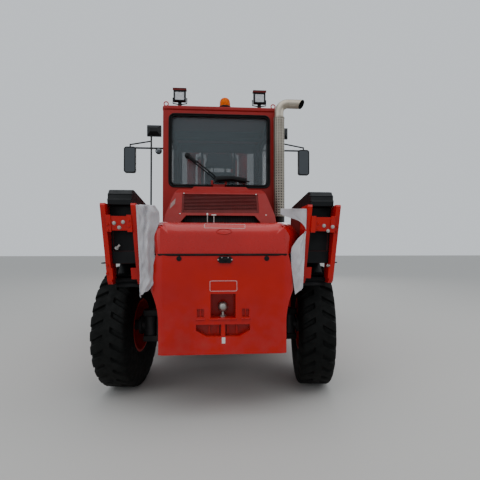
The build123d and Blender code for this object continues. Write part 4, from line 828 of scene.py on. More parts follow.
def roll_upper_edge(mesh):
    """Round the edge between the cover's wall and its top, behind the hood."""
    work = bmesh.new()
    work.from_mesh(mesh)
    bmesh.ops.remove_doubles(work, verts=work.verts, dist=MERGE)
    bmesh.ops.dissolve_limit(work, angle_limit=FLAT_ENOUGH, verts=work.verts, edges=work.edges)
    rolled = []
    for edge in work.edges:
        in_place = all(end.co.z >= ROLL_ABOVE and end.co.y <= ROLL_BEHIND for end in edge.verts)
        if in_place and len(edge.link_faces) == 2:
            steep, flat = sorted(face.normal.z for face in edge.link_faces)
            if steep < WALL_UP and flat > TOP_UP:
                rolled.append(edge)
    bmesh.ops.bevel(work, geom=rolled, offset=COVER_ROLL, offset_type="OFFSET", segments=ROLL_STEPS,
                    profile=0.5, affect="EDGES", clamp_overlap=False)
    work.to_mesh(mesh)
    work.free()
    print("rolled", len(rolled), "edges")


dress("tail_cover", COVER_EDGE, 3, shape=roll_upper_edge)

# %% [markdown]
# ## Fittings on the tail
# Across the joint between casting and cover runs a black seal. Under it sit two round parking
# sensors and a small camera, and below those a blank plate with a thin white border, a draw pin in
# its recess and lights slots. The plates carry no words. All of these are gathered by finish.

# %% Seal, sensors and camera
Z_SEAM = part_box("counterweight")[1].z
SEAM_MIDDLE, SEAM_STEPS, SEAM_REACH = -3.60, 32, 1.6
# piece, height of the lines cast at it, how far above them the seal lies, its radius
SEAMS = (("dressed_counterweight", Z_SEAM - 0.012, 0.010, 0.009),
         ("dressed_tail_cover", Z_SEAM + 0.018, -0.016, 0.008))
RAY_FROM_Y = -6.0
SENSOR_X, SENSOR_Z = 0.41, 1.492
# shapes of round parts are rows of (distance along the axis, radius)
SENSOR_SHAPE = ((-0.01, 0.024), (0.003, 0.024), (0.006, 0.021), (0.006, 0.015), (0.0035, 0.012),
                (0.008, 0.008), (0.009, 0.003))
# places as (x, distance in front of the tail's rear face, z): the camera's box and its bracket
CAMERA_BLOCKS = (((-0.039, -0.020, 1.450), (0.073, 0.004, 1.512)),
                 ((-0.052, -0.004, 1.462), (0.086, 0.004, 1.500)))
CAMERA_LENS, LENS_SHAPE = (0.017, -0.020, 1.481), ((0, 0.017), (0.010, 0.016), (0.012, 0.010))
# shape of a screw, then the places that have it
TAIL_SCREWS = (
    (((0, 0.008), (0.005, 0.007), (0.006, 0.003)), ((-0.046, -0.004, 1.481), (0.080, -0.004, 1.481))),
    (((0, 0.006), (0.003, 0.004)), ((-0.012, -0.020, 1.500), (0.046, -0.020, 1.500))),
)
tail_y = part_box("counterweight")[0].y
back = Vector((0, -1, 0))


def on_tail(x, ahead, z):
    return (x, tail_y + ahead, z)


seam = Trim("tail_seam_seal", "seal", "counterweight")
for name, seam_z, lift, radius in SEAMS:
    path = []
    for step in range(SEAM_STEPS + 1):
        angle = math.pi * step / SEAM_STEPS
        far = Vector((-SEAM_REACH * math.cos(angle), SEAM_MIDDLE - SEAM_REACH * math.sin(angle), seam_z))
        aim = Vector((0, SEAM_MIDDLE, far.z)) - far
        path.append(touch(name, far, aim)[0] + Vector((0, 0, lift)))
    seam.tube(path, radius, 8)
seam.done(0)

fittings = Trim("tail_sensors", "moulding", "counterweight")
for x in both_sides(SENSOR_X):
    where = touch("dressed_counterweight", (x, RAY_FROM_Y, SENSOR_Z), (0, 1, 0))[0]
    fittings.turned(SENSOR_SHAPE, where, back, 24)
for low, high in CAMERA_BLOCKS:
    fittings.block(on_tail(*low), on_tail(*high))
fittings.turned(LENS_SHAPE, on_tail(*CAMERA_LENS), back, 20)
fittings.done(0.002)

screws = Trim("tail_screws", "zinc", "counterweight")
for shape, places in TAIL_SCREWS:
    for place in places:
        screws.turned(shape, on_tail(*place), back, 12)
screws.done(0)

# %% Blank plates and their borders
PLATE_LOW, PLATE_HIGH, PLATE_CORNER = (-0.123, 1.188), (0.129, 1.283), 0.012
MARK_LOW, MARK_HIGH = (-0.012, -0.002, 0.702), (0.020, 0.002, 0.758)
BORDER, BORDER_PROUD = 0.0017, 0.0010
LABEL_PIXELS = ((204.4, 224.0), (245.0, 224.6), (245.0, 228.6), (204.4, 228.0))
RING_MIDDLE, RING_REACH, RING_RADIUS = (224.0, 231.4), (7.4, 2.5), 0.006

borders = Trim("plate_borders", "blank_white", "counterweight")
plate = rounded_loop(PLATE_LOW, PLATE_HIGH, PLATE_CORNER, tail_y - BORDER_PROUD, 4)
borders.tube(plate, BORDER, 4, closed=True)
borders.block(on_tail(*MARK_LOW), on_tail(*MARK_HIGH))


def outline_pixels(corners, steps=8):
    """Pixels along the straight sides of an outline."""
    pixels = []
    for (x0, y0), (x1, y1) in zip(corners, corners[1:] + corners[:1]):
        pixels += [(x0 + (x1 - x0) * step / steps, y0 + (y1 - y0) * step / steps) for step in range(steps)]
    return pixels


borders.tube(seen_on("dressed_tail_cover", outline_pixels(LABEL_PIXELS)), BORDER, 4, closed=True)
borders.done(0)

ring = Trim("cover_ring", "red_paint", "tail_cover")
ring_pixels = [(RING_MIDDLE[0] + RING_REACH[0] * u, RING_MIDDLE[1] + RING_REACH[1] * v)
               for u, v in circle(1.0, 24)]
ring.tube(seen_on("dressed_tail_cover", ring_pixels, 0.0), RING_RADIUS, 8, closed=True)
ring.done(0)

# %% Draw pin, ledges and pockets
RECESS_LOW, RECESS_HALF = 0.936, 0.117
PIN_SHAPE = ((0, 0.030), (0.012, 0.030), (0.016, 0.016), (0.045, 0.014), (0.052, 0.030), (0.068, 0.043),
             (0.095, 0.050), (0.122, 0.043), (0.136, 0.030), (0.144, 0.010), (0.146, 0.002))
LEDGE_SPANS = ((-RECESS_HALF - 0.012, RECESS_HALF + 0.012), (-0.252, -0.170), (0.170, 0.252))
LEDGE_DEEP, LEDGE_Z = 0.010, (RECESS_LOW - 0.014, RECESS_LOW - 0.002)
# places across, half a rib's width, its depths into the tail, its heights
POCKET_RIBS = ((both_sides(0.21), 0.004, (0.004, 0.024), (RECESS_LOW + 0.006, RECESS_LOW + 0.090)),
               ((-0.13, -0.045, 0.045, 0.13), 0.005, (0.030, 0.075), (0.790, 0.880)))

pin_low, pin_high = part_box("tow_pin")
pin = Trim("draw_pin", "steel", "tow_pin")
pin.turned(PIN_SHAPE, ((pin_low.x + pin_high.x) / 2, (pin_low.y + pin_high.y) / 2, RECESS_LOW), sides=28)
pin.done(0, ("tow_pin",))

ledges = Trim("tail_ledges", "red_paint", "counterweight")
for x_low, x_high in LEDGE_SPANS:
    ledges.block(on_tail(x_low, -LEDGE_DEEP, LEDGE_Z[0]), on_tail(x_high, LEDGE_DEEP, LEDGE_Z[1]))
for places, half, depths, heights in POCKET_RIBS:
    for x in places:
        ledges.block(on_tail(x - half, depths[0], heights[0]), on_tail(x + half, depths[1], heights[1]))
ledges.done(0.003)

# %% [markdown]
# ## Hood, grille and the gap under it
# The lifting hood has tapered cheeks, each with a pale blank plate, and a slatted grille between them.
# Round-headed studs hold the lip. In the black gap under it stand two bright rods: a dipstick and a
# latch pull. The slats are thin and deep in the solid already, and a red darkened to paint their shade
# does the rest. A fine mesh behind them, in the same painted shade, keeps the eye from falling through
# to the radiator.

# %% Grille, mesh and radiator face
GRILLE_EDGE, RADIATOR_EDGE = 0.0015, 0.004
FIN_PITCH, FIN_HALF, FIN_OUT, FIN_INTO, FIN_MARGIN, FIN_ENDS = 0.022, 0.002, 0.006, 0.002, 0.02, 0.03
SCREEN_PITCH, SCREEN_WIRE = 0.030, 0.0022
SCREEN_FOOT, SCREEN_HEAD = (0.046, 0.03), (0.004, -0.01)    # depth and height from the grille's corners

dress("radiator_grille", GRILLE_EDGE)
dress("radiator", RADIATOR_EDGE)
core = Trim("radiator_fins", "iron", "radiator")
low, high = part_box("radiator")
for index in range(int((high.x - low.x - 2 * FIN_MARGIN) / FIN_PITCH)):
    x = low.x + FIN_MARGIN + FIN_PITCH * (index + 0.5)
    core.block((x - FIN_HALF, low.y - FIN_OUT, low.z + FIN_ENDS),
               (x + FIN_HALF, low.y + FIN_INTO, high.z - FIN_ENDS))
core.done(0)
# the mesh is in the red darkened to paint the grille's shade
screen = Trim("grille_screen", "grille_paint", "radiator_grille")
low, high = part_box("radiator_grille")
for index in range(1, int((high.x - low.x) / SCREEN_PITCH)):
    x = low.x + SCREEN_PITCH * index
    screen.tube([(x, low.y + SCREEN_FOOT[0], low.z + SCREEN_FOOT[1]),
                 (x, high.y + SCREEN_HEAD[0], high.z + SCREEN_HEAD[1])], SCREEN_WIRE, 4)
screen.done(0)

# %% Cheek plates, studs, rods and hinges
CHEEK_LEFT = ((175.6, 198.4), (170.8, 203.4), (169.6, 209.0), (175.0, 203.8))
CHEEK_RIGHT = ((269.4, 201.6), (272.6, 203.4), (276.6, 210.4), (273.2, 208.0))


def patch(trim, corners, thickness=0.0015):
    """A thin plate through four points, just proud of what is behind it."""
    corners = [Vector(corner) for corner in corners]
    normal = (corners[1] - corners[0]).cross(corners[3] - corners[0]).normalized()
    if normal.dot(EYE - corners[0]) < 0:
        normal = -normal
    near = [trim.work.verts.new(corner + thickness * normal) for corner in corners]
    far = [trim.work.verts.new(corner - thickness * normal) for corner in corners]
    trim.skin([near, far], closed=False)


# the plates are white, painted darker for the shade on the hood's back
cheeks = Trim("cheek_plates", "faded_white", "engine_hood")
for corners in (CHEEK_LEFT, CHEEK_RIGHT):
    patch(cheeks, seen_on("dressed_engine_hood", corners))
cheeks.done(0)

# pixels of the round-headed studs
STUD_PIXELS = ((180.0, 213.8), (266.0, 215.2), (184.0, 193.4), (256.0, 194.6))
STUD_HEAD, STUD_LOOKS = ((-0.004, 0.009), (0.003, 0.009), (0.006, 0.006)), (0, -0.8, 0.6)
HINGE_X, HINGE_LENGTH, HINGE_RADIUS = 0.48, 0.07, 0.012
HINGE_CAP = ((0, 0.009), (0.006, 0.009), (0.008, 0.006))
# pixel of a rod's head, and whether the rod has a cross handle
RODS, ROD_Y, ROD_RADIUS = (((207.4, 214.3), False), ((213.9, 215.2), True)), -3.05, 0.0075
HANDLE_HALF, HANDLE_RADIUS = 0.028, 0.008
KNOB_SHAPE, KNOB_DROP = ((0, 0.012), (0.020, 0.012), (0.026, 0.008)), 0.012
ROD_SUNK = 0.002

hood_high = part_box("engine_hood")[1]
studs = Trim("hood_studs", "zinc", "engine_hood")
for where in seen_on("dressed_engine_hood", STUD_PIXELS, 0.0):
    studs.turned(STUD_HEAD, where, STUD_LOOKS, 12)
for x in both_sides(HINGE_X - HINGE_LENGTH / 2):
    for end in (-1, 1):
        where = (x + end * HINGE_LENGTH / 2, hood_high.y, hood_high.z - HINGE_RADIUS)
        studs.turned(HINGE_CAP, where, (end, 0, 0), 12)
studs.done(0)

rods = Trim("gap_rods", "zinc", "tail_cover")
cover_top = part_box("tail_cover")[1].z
for pixel, has_handle in RODS:
    head = at_depth(*pixel, ROD_Y)
    rods.turned(((0, ROD_RADIUS), (head.z - cover_top, ROD_RADIUS)),
                (head.x, ROD_Y, cover_top - ROD_SUNK), sides=10)
    if has_handle:
        ends = [(head.x + reach, ROD_Y, head.z) for reach in both_sides(HANDLE_HALF)]
        rods.tube(ends, HANDLE_RADIUS, 8)
    else:
        rods.turned(KNOB_SHAPE, (head.x, ROD_Y, head.z - KNOB_DROP), sides=12)
rods.done(0)

# %% [markdown]
# ## Stays, bolts and boxes over the rear wheels
# Two leaning plates a side carry a bolted cross plate and the moulded box behind it. Its three big
# bolts are bright zinc, and smaller ones hold the tabs at its ends. Black mesh closes the opening
# below the plate. The lids have two moulded ribs along them.

# %% Bolts of the stays
# pixels of the big bolts, then of the small ones, for each side
BIG_BOLTS = {"left": ((114.0, 223.0), (123.0, 222.0), (119.2, 227.4)),
             "right": ((324.0, 225.7), (332.6, 226.8), (328.0, 230.9))}
SMALL_BOLTS = {"left": ((107.5, 224.5), (107.7, 230.5), (128.8, 220.6), (129.0, 226.2)),
               "right": ((318.5, 224.0), (318.0, 229.5), (337.6, 227.0), (336.6, 232.2))}
LUG_BOLTS = {"left": ((107.2, 265.5), (107.4, 273.5)), "right": ((336.3, 268.5), (335.3, 277.0))}
# how wide and high their heads are
BIG_HEAD, SMALL_HEAD, LUG_HEAD = (0.025, 0.016), (0.018, 0.010), (0.020, 0.012)
LOOKS_BACK = -0.3
bolts = Trim("stay_bolts", "zinc", "rear_stays")
red_bolts = Trim("stay_small_bolts", "red_paint", "rear_stays")


def bolts_seen(trim, pixels, head):
    """Bolts standing on the stays where the camera sees them."""
    for pixel in pixels:
        where, facing = touch("dressed_rear_stays", EYE, sight(*pixel))
        if where is not None and facing.y < LOOKS_BACK:
            trim.bolt(where, facing, *head)


for side in ("left", "right"):
    bolts_seen(bolts, BIG_BOLTS[side], BIG_HEAD)
    bolts_seen(red_bolts, SMALL_BOLTS[side], SMALL_HEAD)
    bolts_seen(red_bolts, LUG_BOLTS[side], LUG_HEAD)
bolts.done(0)
red_bolts.done(0)

# %% Mesh panels under the cross plates
PANEL_Y = -3.79
STAY_LEAN, STAY_FOOT = 45.0 / 770.0, 1.240
MESH_LOW, MESH_HIGH, MESH_ROWS = 1.47, 1.75, 12
MESH_NEAR, MESH_FAR, MESH_FIRST, MESH_PITCH, MESH_COLUMNS = 0.822, 1.050, 0.826, 0.022, 11
MESH_WIRE = 0.004


def leaning(x, z):
    """A distance from the middle that grows with the height as the stays lean."""
    return x + STAY_LEAN * (z - STAY_FOOT)


mesh_panel = Trim("box_mesh", "moulding", "side_boxes")
for side in (-1, 1):
    for step in range(MESH_ROWS + 1):
        z = MESH_LOW + (MESH_HIGH - MESH_LOW) * step / MESH_ROWS
        mesh_panel.tube([(side * leaning(x, z), PANEL_Y, z) for x in (MESH_NEAR, MESH_FAR)], MESH_WIRE, 6)
    for step in range(MESH_COLUMNS):
        x = MESH_FIRST + MESH_PITCH * step
        mesh_panel.tube([(side * leaning(x, z), PANEL_Y, z) for z in (MESH_LOW, MESH_HIGH)], MESH_WIRE, 6)
mesh_panel.done(0)

# %% Ribs of the lids and the fittings between the stays
# distance below the lid's top, then how far out a rib starts and ends
LID_RIBS, RIB_RADIUS, RIB_PROUD, LID_X = ((0.060, 0.855, 1.088), (0.110, 0.863, 1.096)), 0.006, 0.002, 0.96
FITTING_PIXELS, FITTING_PROUD = ((117.0, 248.0), (328.0, 265.6)), 0.02
FITTING_SHAPE = ((0, 0.020), (0.014, 0.020), (0.016, 0.012), (0.045, 0.012))
ELBOW, ELBOW_RADIUS = ((0, -0.035, 0), (0.02, -0.042, 0.014), (0.038, -0.042, 0.030)), 0.011

lid_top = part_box("box_lids")[1].z
ribs = Trim("lid_ribs", "moulding", "box_lids")
for side in (-1, 1):
    for drop, x_near, x_far in LID_RIBS:
        z = lid_top - drop
        where = touch("dressed_box_lids", (side * LID_X, RAY_FROM_Y, z), (0, 1, 0))[0]
        if where is not None:
            ribs.tube([(side * x, where.y + RIB_PROUD, z) for x in (x_near, x_far)], RIB_RADIUS, 8)
ribs.done(0)
elbows = Trim("hose_fittings", "zinc", "rear_stays")
for pixel in FITTING_PIXELS:
    where = at_depth(*pixel, PANEL_Y - FITTING_PROUD)
    elbows.turned(FITTING_SHAPE, where, back, 6)
    elbows.tube([where + Vector(bend) for bend in ELBOW], ELBOW_RADIUS, 10)
elbows.done(0)

# %% [markdown]
# ## Window seals, wiper and lining
# The cab's panes sit in wide black rubber. Seen from outside, the seal reads as a dark border that
# rounds the corners. It is a soft flat strip, so a four-sided tube pressed flat against the wall does
# for it. The rear wiper hangs from a head on the glass, and its blade lies along the lower edge.

# %% Window seals
CAB_REAR, CAB_FRONT, CAB_SIDE = -2.230, -0.480, 0.800
WINDOW_HALF, WINDOW_LOW, WINDOW_HIGH, FRONT_LOW, WINDOW_CORNER = 0.710, 2.450, 3.480, 1.850, 0.070
SEAL_HALF, DOOR_SEAL_HALF, SEAL_EDGE = 0.016, 0.0128, 0.003
SEAL_INSETS, SIDE_WINDOW_Y = (0.000, 0.022), (CAB_REAR + 0.09, CAB_REAR + 0.41)

seals = Trim("window_seals", "seal", "cab_rear_wall")
for low_z, y in ((WINDOW_LOW, CAB_REAR), (FRONT_LOW, CAB_FRONT)):
    for inset in SEAL_INSETS:
        low, high = (-WINDOW_HALF + inset, low_z + inset), (WINDOW_HALF - inset, WINDOW_HIGH - inset)
        seals.tube(rounded_loop(low, high, WINDOW_CORNER, y), SEAL_HALF, 4, closed=True)
seals.done(SEAL_EDGE)


def side_loop(x, y_low, y_high, z_low, z_high):
    """A rounded loop on a side of the cab."""
    loop = rounded_loop((y_low, z_low), (y_high, z_high), WINDOW_CORNER, 0.0)
    return [(x, along, up) for along, _, up in loop]


for side, x in (("left", -CAB_SIDE), ("right", CAB_SIDE)):
    low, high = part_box("door_glass_" + side)
    door_seal = Trim("door_seal_" + side, "seal", "door_" + side)
    door_seal.tube(side_loop(x, low.y, high.y, low.z, high.z), DOOR_SEAL_HALF, 4, closed=True)
    door_seal.done(SEAL_EDGE)
side_seals = Trim("side_window_seals", "seal", "cab_sides")
for x in both_sides(CAB_SIDE):
    side_seals.tube(side_loop(x, *SIDE_WINDOW_Y, WINDOW_LOW, WINDOW_HIGH), DOOR_SEAL_HALF, 4, closed=True)
side_seals.done(SEAL_EDGE)

# %% Rear wiper on its pedestal
GLASS_Y = CAB_REAR - 0.030
WIPER_HEAD, WIPER_KNEE = (187.5, 155.5), (217.5, 179.5)
BLADE_LEFT, BLADE_RIGHT = (217.5, 179.0), (246.0, 181.0)
HEAD_SHAPE = ((-0.045, 0.036), (0.010, 0.040), (0.026, 0.032), (0.034, 0.016))
KNEE_SHAPE = ((-0.03, 0.040), (0.012, 0.040), (0.020, 0.026))
# the arm is one thick bar, then two thin rods either side of its line: shares of its length, radii
ARM_BAR, BAR_THICK = (0.02, 0.30), 0.030
RODS_FROM, RODS_APART, ROD_RADII = 0.28, Vector((0.012, 0, 0.012)), (0.011, 0.009)
BLADE_RISE, BLADE_RADIUS = Vector((0, -0.02, 0.020)), 0.040
RUBBER_ENDS, RUBBER_RADIUS = (Vector((-0.05, 0.012, 0.02)), Vector((0.05, 0.012, -0.006))), 0.009
# pixels between which the pedestal stands, and the one at its top
PEDESTAL_LEFT, PEDESTAL_RIGHT, PEDESTAL_TOP = (211.0, 188.0), (227.0, 188.0), (219.0, 180.0)
PEDESTAL_Y, PEDESTAL_LEG, PEDESTAL_FOOT, PEDESTAL_STEP = CAB_REAR - 0.04, 0.030, 0.055, 0.01
PEDESTAL_OUT, PEDESTAL_INTO, HOOD_CLEAR = CAB_REAR - 0.014, CAB_REAR + 0.02, 2.432

wiper = Trim("rear_wiper", "moulding", "cab_rear_wall")
head, knee = at_depth(*WIPER_HEAD, GLASS_Y), at_depth(*WIPER_KNEE, GLASS_Y)
along = knee - head
wiper.turned(HEAD_SHAPE, head, back, 20)
wiper.tube([head + share * along for share in ARM_BAR], BAR_THICK, 8)
for way, radius in zip((1, -1), ROD_RADII):
    wiper.tube([head + RODS_FROM * along + way * RODS_APART, knee + way * RODS_APART], radius, 8)
left, right = at_depth(*BLADE_LEFT, GLASS_Y), at_depth(*BLADE_RIGHT, GLASS_Y)
wiper.tube([left, left.lerp(right, 0.5) + BLADE_RISE, right], BLADE_RADIUS, 8)
wiper.tube([left + RUBBER_ENDS[0], right + RUBBER_ENDS[1]], RUBBER_RADIUS, 4)
wiper.turned(KNEE_SHAPE, knee, back, 16)
wiper.done(0.002)

pedestal = Trim("wiper_pedestal", "cab_paint", "cab_rear_wall")
left, right = at_depth(*PEDESTAL_LEFT, PEDESTAL_Y), at_depth(*PEDESTAL_RIGHT, PEDESTAL_Y)
left.z = max(left.z, HOOD_CLEAR)      # clear of the hood's lid as it opens
top = at_depth(*PEDESTAL_TOP, PEDESTAL_Y).z
# sides and top of its two legs and of its foot
for x_low, x_high, z_high in ((left.x, left.x + PEDESTAL_LEG, top),
                              (right.x - PEDESTAL_LEG, right.x, top - PEDESTAL_STEP),
                              (left.x, right.x, left.z + PEDESTAL_FOOT)):
    pedestal.block((x_low, PEDESTAL_OUT, left.z), (x_high, PEDESTAL_INTO, z_high))
pedestal.done(0.004)

# %% Dash, pillars and roof lining seen through the glass
# low and high corners: dash, sun strip, roof lining, side console, sill under the rear window
INSIDE_BLOCKS = (
    ((-0.70, -0.86, 2.02), (0.70, -0.56, 2.16)), ((-0.72, -0.60, 3.36), (0.72, -0.545, 3.50)),
    ((-0.72, -1.30, 3.43), (0.72, -1.10, 3.535)), ((0.36, -1.75, 1.53), (0.66, -1.15, 2.22)),
    ((-0.72, -2.16, 2.30), (0.72, -2.12, 2.42)),
)
# x, half width, depths and heights of the posts: the front window's bars, rear and front pillars
INSIDE_POSTS = ((0.300, 0.02, (-0.58, -0.545), (1.95, 3.40)), (0.735, 0.035, (-2.15, -2.09), (1.55, 3.50)),
                (0.735, 0.035, (-0.62, -0.56), (1.55, 3.50)))
LEVER, LEVER_SHAPE = (0.50, -1.30, 2.22), ((0, 0.035), (0.10, 0.030), (0.14, 0.022))
BOSS_SHAPE = ((0, 0.045), (0.02, 0.045), (0.028, 0.030))
BOSS_LEAN, BOSS_AHEAD, BOSS_DROP = (0, -0.4, 0.9), 0.16, 0.03

inside = Trim("cab_dash", "lining", "cab_front_wall")
for low, high in INSIDE_BLOCKS:
    inside.block(low, high)
for place, half, depths, heights in INSIDE_POSTS:
    for x in both_sides(place):
        inside.block((x - half, depths[0], heights[0]), (x + half, depths[1], heights[1]))
inside.turned(LEVER_SHAPE, LEVER, sides=12)
inside.done(0.006)

wheel = Trim("hand_wheel_rim", "moulding", "steering_column")
low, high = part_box("steering_column")
wheel.turned(BOSS_SHAPE, (0.0, low.y + BOSS_AHEAD, high.z - BOSS_DROP), BOSS_LEAN)
wheel.done(0)

# %% [markdown]
# ## Roof: lifting eyes, lamps and beacon
# Two square lamps shine back from the roof's rear edge, each a dark housing with a red visor, darkened
# to paint the shade under it, and a fluted clear lens. Between them turns an amber beacon on a black
# base. Lifting eyes are welded at the corners. The lenses have their own finish, so each is a separate
# piece set into its housing.

# %% Lamp lenses, visors and eyes
LAMP_X, LAMP_Z, LAMP_FACE = 0.570, 3.752, -2.220
# corners as (x, y, z) from a lamp's middle: its lens, then its visor's top and lip
LAMP_LENS = ((-0.066, -0.008, -0.070), (0.066, 0.004, 0.048))
VISOR_BLOCKS = (((-0.096, -0.020, 0.086), (0.096, 0.080, 0.098)),
                ((-0.096, -0.020, 0.066), (0.096, -0.012, 0.098)))
BEZEL_LOW, BEZEL_HIGH = (-0.074, -0.078), (0.074, 0.056)
BEZEL_CORNER, BEZEL_PROUD, BEZEL_RADIUS = 0.020, 0.006, 0.010
BRACKET = ((-0.098, -0.02), (-0.098, -0.100), (0, -0.118), (0.098, -0.100), (0.098, -0.02))
BRACKET_AHEAD, BRACKET_RADIUS = 0.05, 0.008
POST_LAMP_X, POST_LAMP_Z, POST_LAMP_FACE = 1.185, 3.755, -0.510
POST_LENS = ((-0.112, -0.006, -0.082), (0.112, 0.010, 0.082))
EYE_PIXELS = ((166.2, 103.0), (273.0, 105.5))
EYE_RADIUS, EYE_BAR, EYE_INTO, EYE_GAP = 0.030, 0.008, 0.07, 0.012
EYE_FOOT = ((0, 0.024), (0.010, 0.022), (0.014, 0.010))


def blocks_round(name, finish, beside, middles, corners, bevel):
    """One piece of blocks that stand alike round several middles."""
    trim = Trim(name, finish, beside)
    for middle in middles:
        for low, high in corners:
            trim.block([m + d for m, d in zip(middle, low)], [m + d for m, d in zip(middle, high)])
    trim.done(bevel)


lamps = [(x, LAMP_FACE, LAMP_Z) for x in both_sides(LAMP_X)]
post_lamps = [(x, POST_LAMP_FACE, POST_LAMP_Z) for x in both_sides(POST_LAMP_X)]
blocks_round("roof_lamp_lenses", "clear_lens", "work_lamps", lamps, (LAMP_LENS,), 0.006)
blocks_round("post_lamp_lenses", "clear_lens", "work_lamps", post_lamps, (POST_LENS,), 0.008)
# the visors are in the red darkened to paint the shade under them
blocks_round("lamp_visors", "grille_paint", "work_lamps", lamps, VISOR_BLOCKS, 0.002)
bezels = Trim("roof_lamp_bezels", "moulding", "work_lamps")
for x, y, z in lamps:
    loop = rounded_loop((x + BEZEL_LOW[0], z + BEZEL_LOW[1]), (x + BEZEL_HIGH[0], z + BEZEL_HIGH[1]),
                        BEZEL_CORNER, y - BEZEL_PROUD)
    bezels.tube(loop, BEZEL_RADIUS, 8, closed=True)
    bezels.tube([(x + dx, y + BRACKET_AHEAD, z + dz) for dx, dz in BRACKET], BRACKET_RADIUS, 6)
bezels.done(0)

eyes = Trim("lifting_eyes", "red_paint", "cab_roof")
roof_low, roof_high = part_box("cab_roof")
for pixel in EYE_PIXELS:
    middle = at_depth(*pixel, roof_low.y + EYE_INTO)
    z = roof_high.z + EYE_RADIUS + EYE_GAP
    eyes.tube([(middle.x + u, middle.y, z + v) for u, v in circle(EYE_RADIUS, 20)], EYE_BAR, 8, closed=True)
    eyes.turned(EYE_FOOT, (middle.x, middle.y, roof_high.z - 0.001), sides=12)
eyes.done(0)

# %% The beacon
DOME_SHAPE = ((0.078, 0.074), (0.084, 0.082), (0.100, 0.081), (0.130, 0.080), (0.160, 0.077), (0.185, 0.068),
              (0.203, 0.052), (0.214, 0.032), (0.219, 0.010))
BASE_SHAPE = ((0, 0.068), (0.012, 0.068), (0.020, 0.056), (0.062, 0.056), (0.068, 0.086), (0.084, 0.086),
              (0.088, 0.080))
low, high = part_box("beacon")
beacon_foot = ((low.x + high.x) / 2, (low.y + high.y) / 2, low.z)
dome = Trim("beacon_dome", "amber", "beacon")
dome.turned(DOME_SHAPE, beacon_foot, sides=36)
dome.done(0, ("beacon",))
base = Trim("beacon_base", "moulding", "beacon")
base.turned(BASE_SHAPE, beacon_foot, sides=32)
base.done(0)

# %% [markdown]
# ## Mirrors
# The heads are rounded black shells round a silvered glass that looks back at the driver's cab. Only
# the glass is missing from the solid, so a thin bright plate with rounded corners goes into each.

# %% Mirror glass
MIRROR_LOW, MIRROR_HIGH, MIRROR_FACE = (1.510, 2.960), (1.725, 3.440), -0.598
GLASS_INSET, GLASS_CORNER, GLASS_FACES = 0.018, 0.033, (-0.003, 0.004)
RIM_INSET, RIM_CORNER, RIM_RADIUS = 0.008, 0.041, 0.010
ROUND_X, ROUND_Y, ROUND_Z = 1.095, -0.610, 3.365
ROUND_RIM = ((-0.01, 0.060), (0.006, 0.060), (0.012, 0.052))
ROUND_GLASS = ((0, 0.050), (0.014, 0.046), (0.020, 0.020))


def mirror_loop(side, inset, corner, ahead=0.0):
    x_near, x_far = sorted((side * MIRROR_LOW[0], side * MIRROR_HIGH[0]))
    return rounded_loop((x_near + inset, MIRROR_LOW[1] + inset), (x_far - inset, MIRROR_HIGH[1] - inset),
                        corner, MIRROR_FACE + ahead)


glasses = Trim("mirror_glasses", "mirror", "mirrors_and_rails")
rims = Trim("mirror_rims", "moulding", "mirrors_and_rails")
for side in (-1, 1):
    loops = [mirror_loop(side, GLASS_INSET, GLASS_CORNER, ahead) for ahead in GLASS_FACES]
    glasses.skin([[glasses.work.verts.new(point) for point in loop] for loop in loops], closed=False)
    rims.tube(mirror_loop(side, RIM_INSET, RIM_CORNER), RIM_RADIUS, 8, closed=True)
    rims.turned(ROUND_RIM, (side * ROUND_X, ROUND_Y, ROUND_Z), back, 28)
    glasses.turned(ROUND_GLASS, (side * ROUND_X, ROUND_Y, ROUND_Z), back, 28)
glasses.done(0)
rims.done(0)

# %% [markdown]
# ## Perforated exhaust shield
# A tube of punched stainless sheet guards the hot stack. Dots painted on it would have no depth and no
# glimpse of the pipe behind, which is painted dark for the shade inside the shield, so the holes are
# real: each cell of the sheet is a square with an eight-sided hole, the cells are rolled into a tube,
# and the sheet gets its thickness from a modifier.

# %% Roll the punched sheet
PIPE_X, PIPE_Y, SHIELD_RADIUS, SHIELD_Z, SHIELD_SHEET = 0.833, -2.330, 0.075, (2.022, 3.428), 0.0025
CELLS_ROUND, CELLS_HIGH, HOLE = 13, 38, 0.0108
CELL_POINTS = ((0.5, 0), (0.5, 0.5), (0, 0.5), (-0.5, 0.5), (-0.5, 0), (-0.5, -0.5), (0, -0.5), (0.5, -0.5))
BAND_INSET, BAND_RADIUS = 0.012, 0.006
# heights of the brackets, their span across, where they start ahead of the pipe, half their height
BRACKETS_Z, BRACKET_X = (2.58, 3.22), (PIPE_X - 0.060, PIPE_X - 0.024)
BRACKET_FROM, BRACKET_HALF = 0.060, 0.020


def punched_tube():
    """Square cells with eight-sided holes, rolled into a tube."""
    work = bmesh.new()
    across = 2 * math.pi * SHIELD_RADIUS / CELLS_ROUND
    up = (SHIELD_Z[1] - SHIELD_Z[0]) / CELLS_HIGH
    for column in range(CELLS_ROUND):
        for row in range(CELLS_HIGH):
            outer, inner = [], []
            for index, (u, v) in enumerate(CELL_POINTS):
                turn = math.pi / 4 * index
                hole = (HOLE * math.cos(turn), HOLE * math.sin(turn))
                for ring, (du, dv) in ((outer, (u * across, v * up)), (inner, hole)):
                    angle = ((column + 0.5) * across + du) / SHIELD_RADIUS
                    ring.append(work.verts.new((PIPE_X + SHIELD_RADIUS * math.sin(angle),
                                                PIPE_Y - SHIELD_RADIUS * math.cos(angle),
                                                SHIELD_Z[0] + (row + 0.5) * up + dv)))
            for index in range(8):
                following = (index + 1) % 8
                work.faces.new((outer[index], outer[following], inner[following], inner[index]))
    bmesh.ops.remove_doubles(work, verts=work.verts, dist=0.0005)
    return work


shield = piece_from(punched_tube(), "punched_shield", "stainless", None)
thickness = shield.modifiers.new("sheet", "SOLIDIFY")
thickness.thickness = SHIELD_SHEET
thickness.offset = -1
show(shield, "exhaust_shield", ("exhaust_shield",))

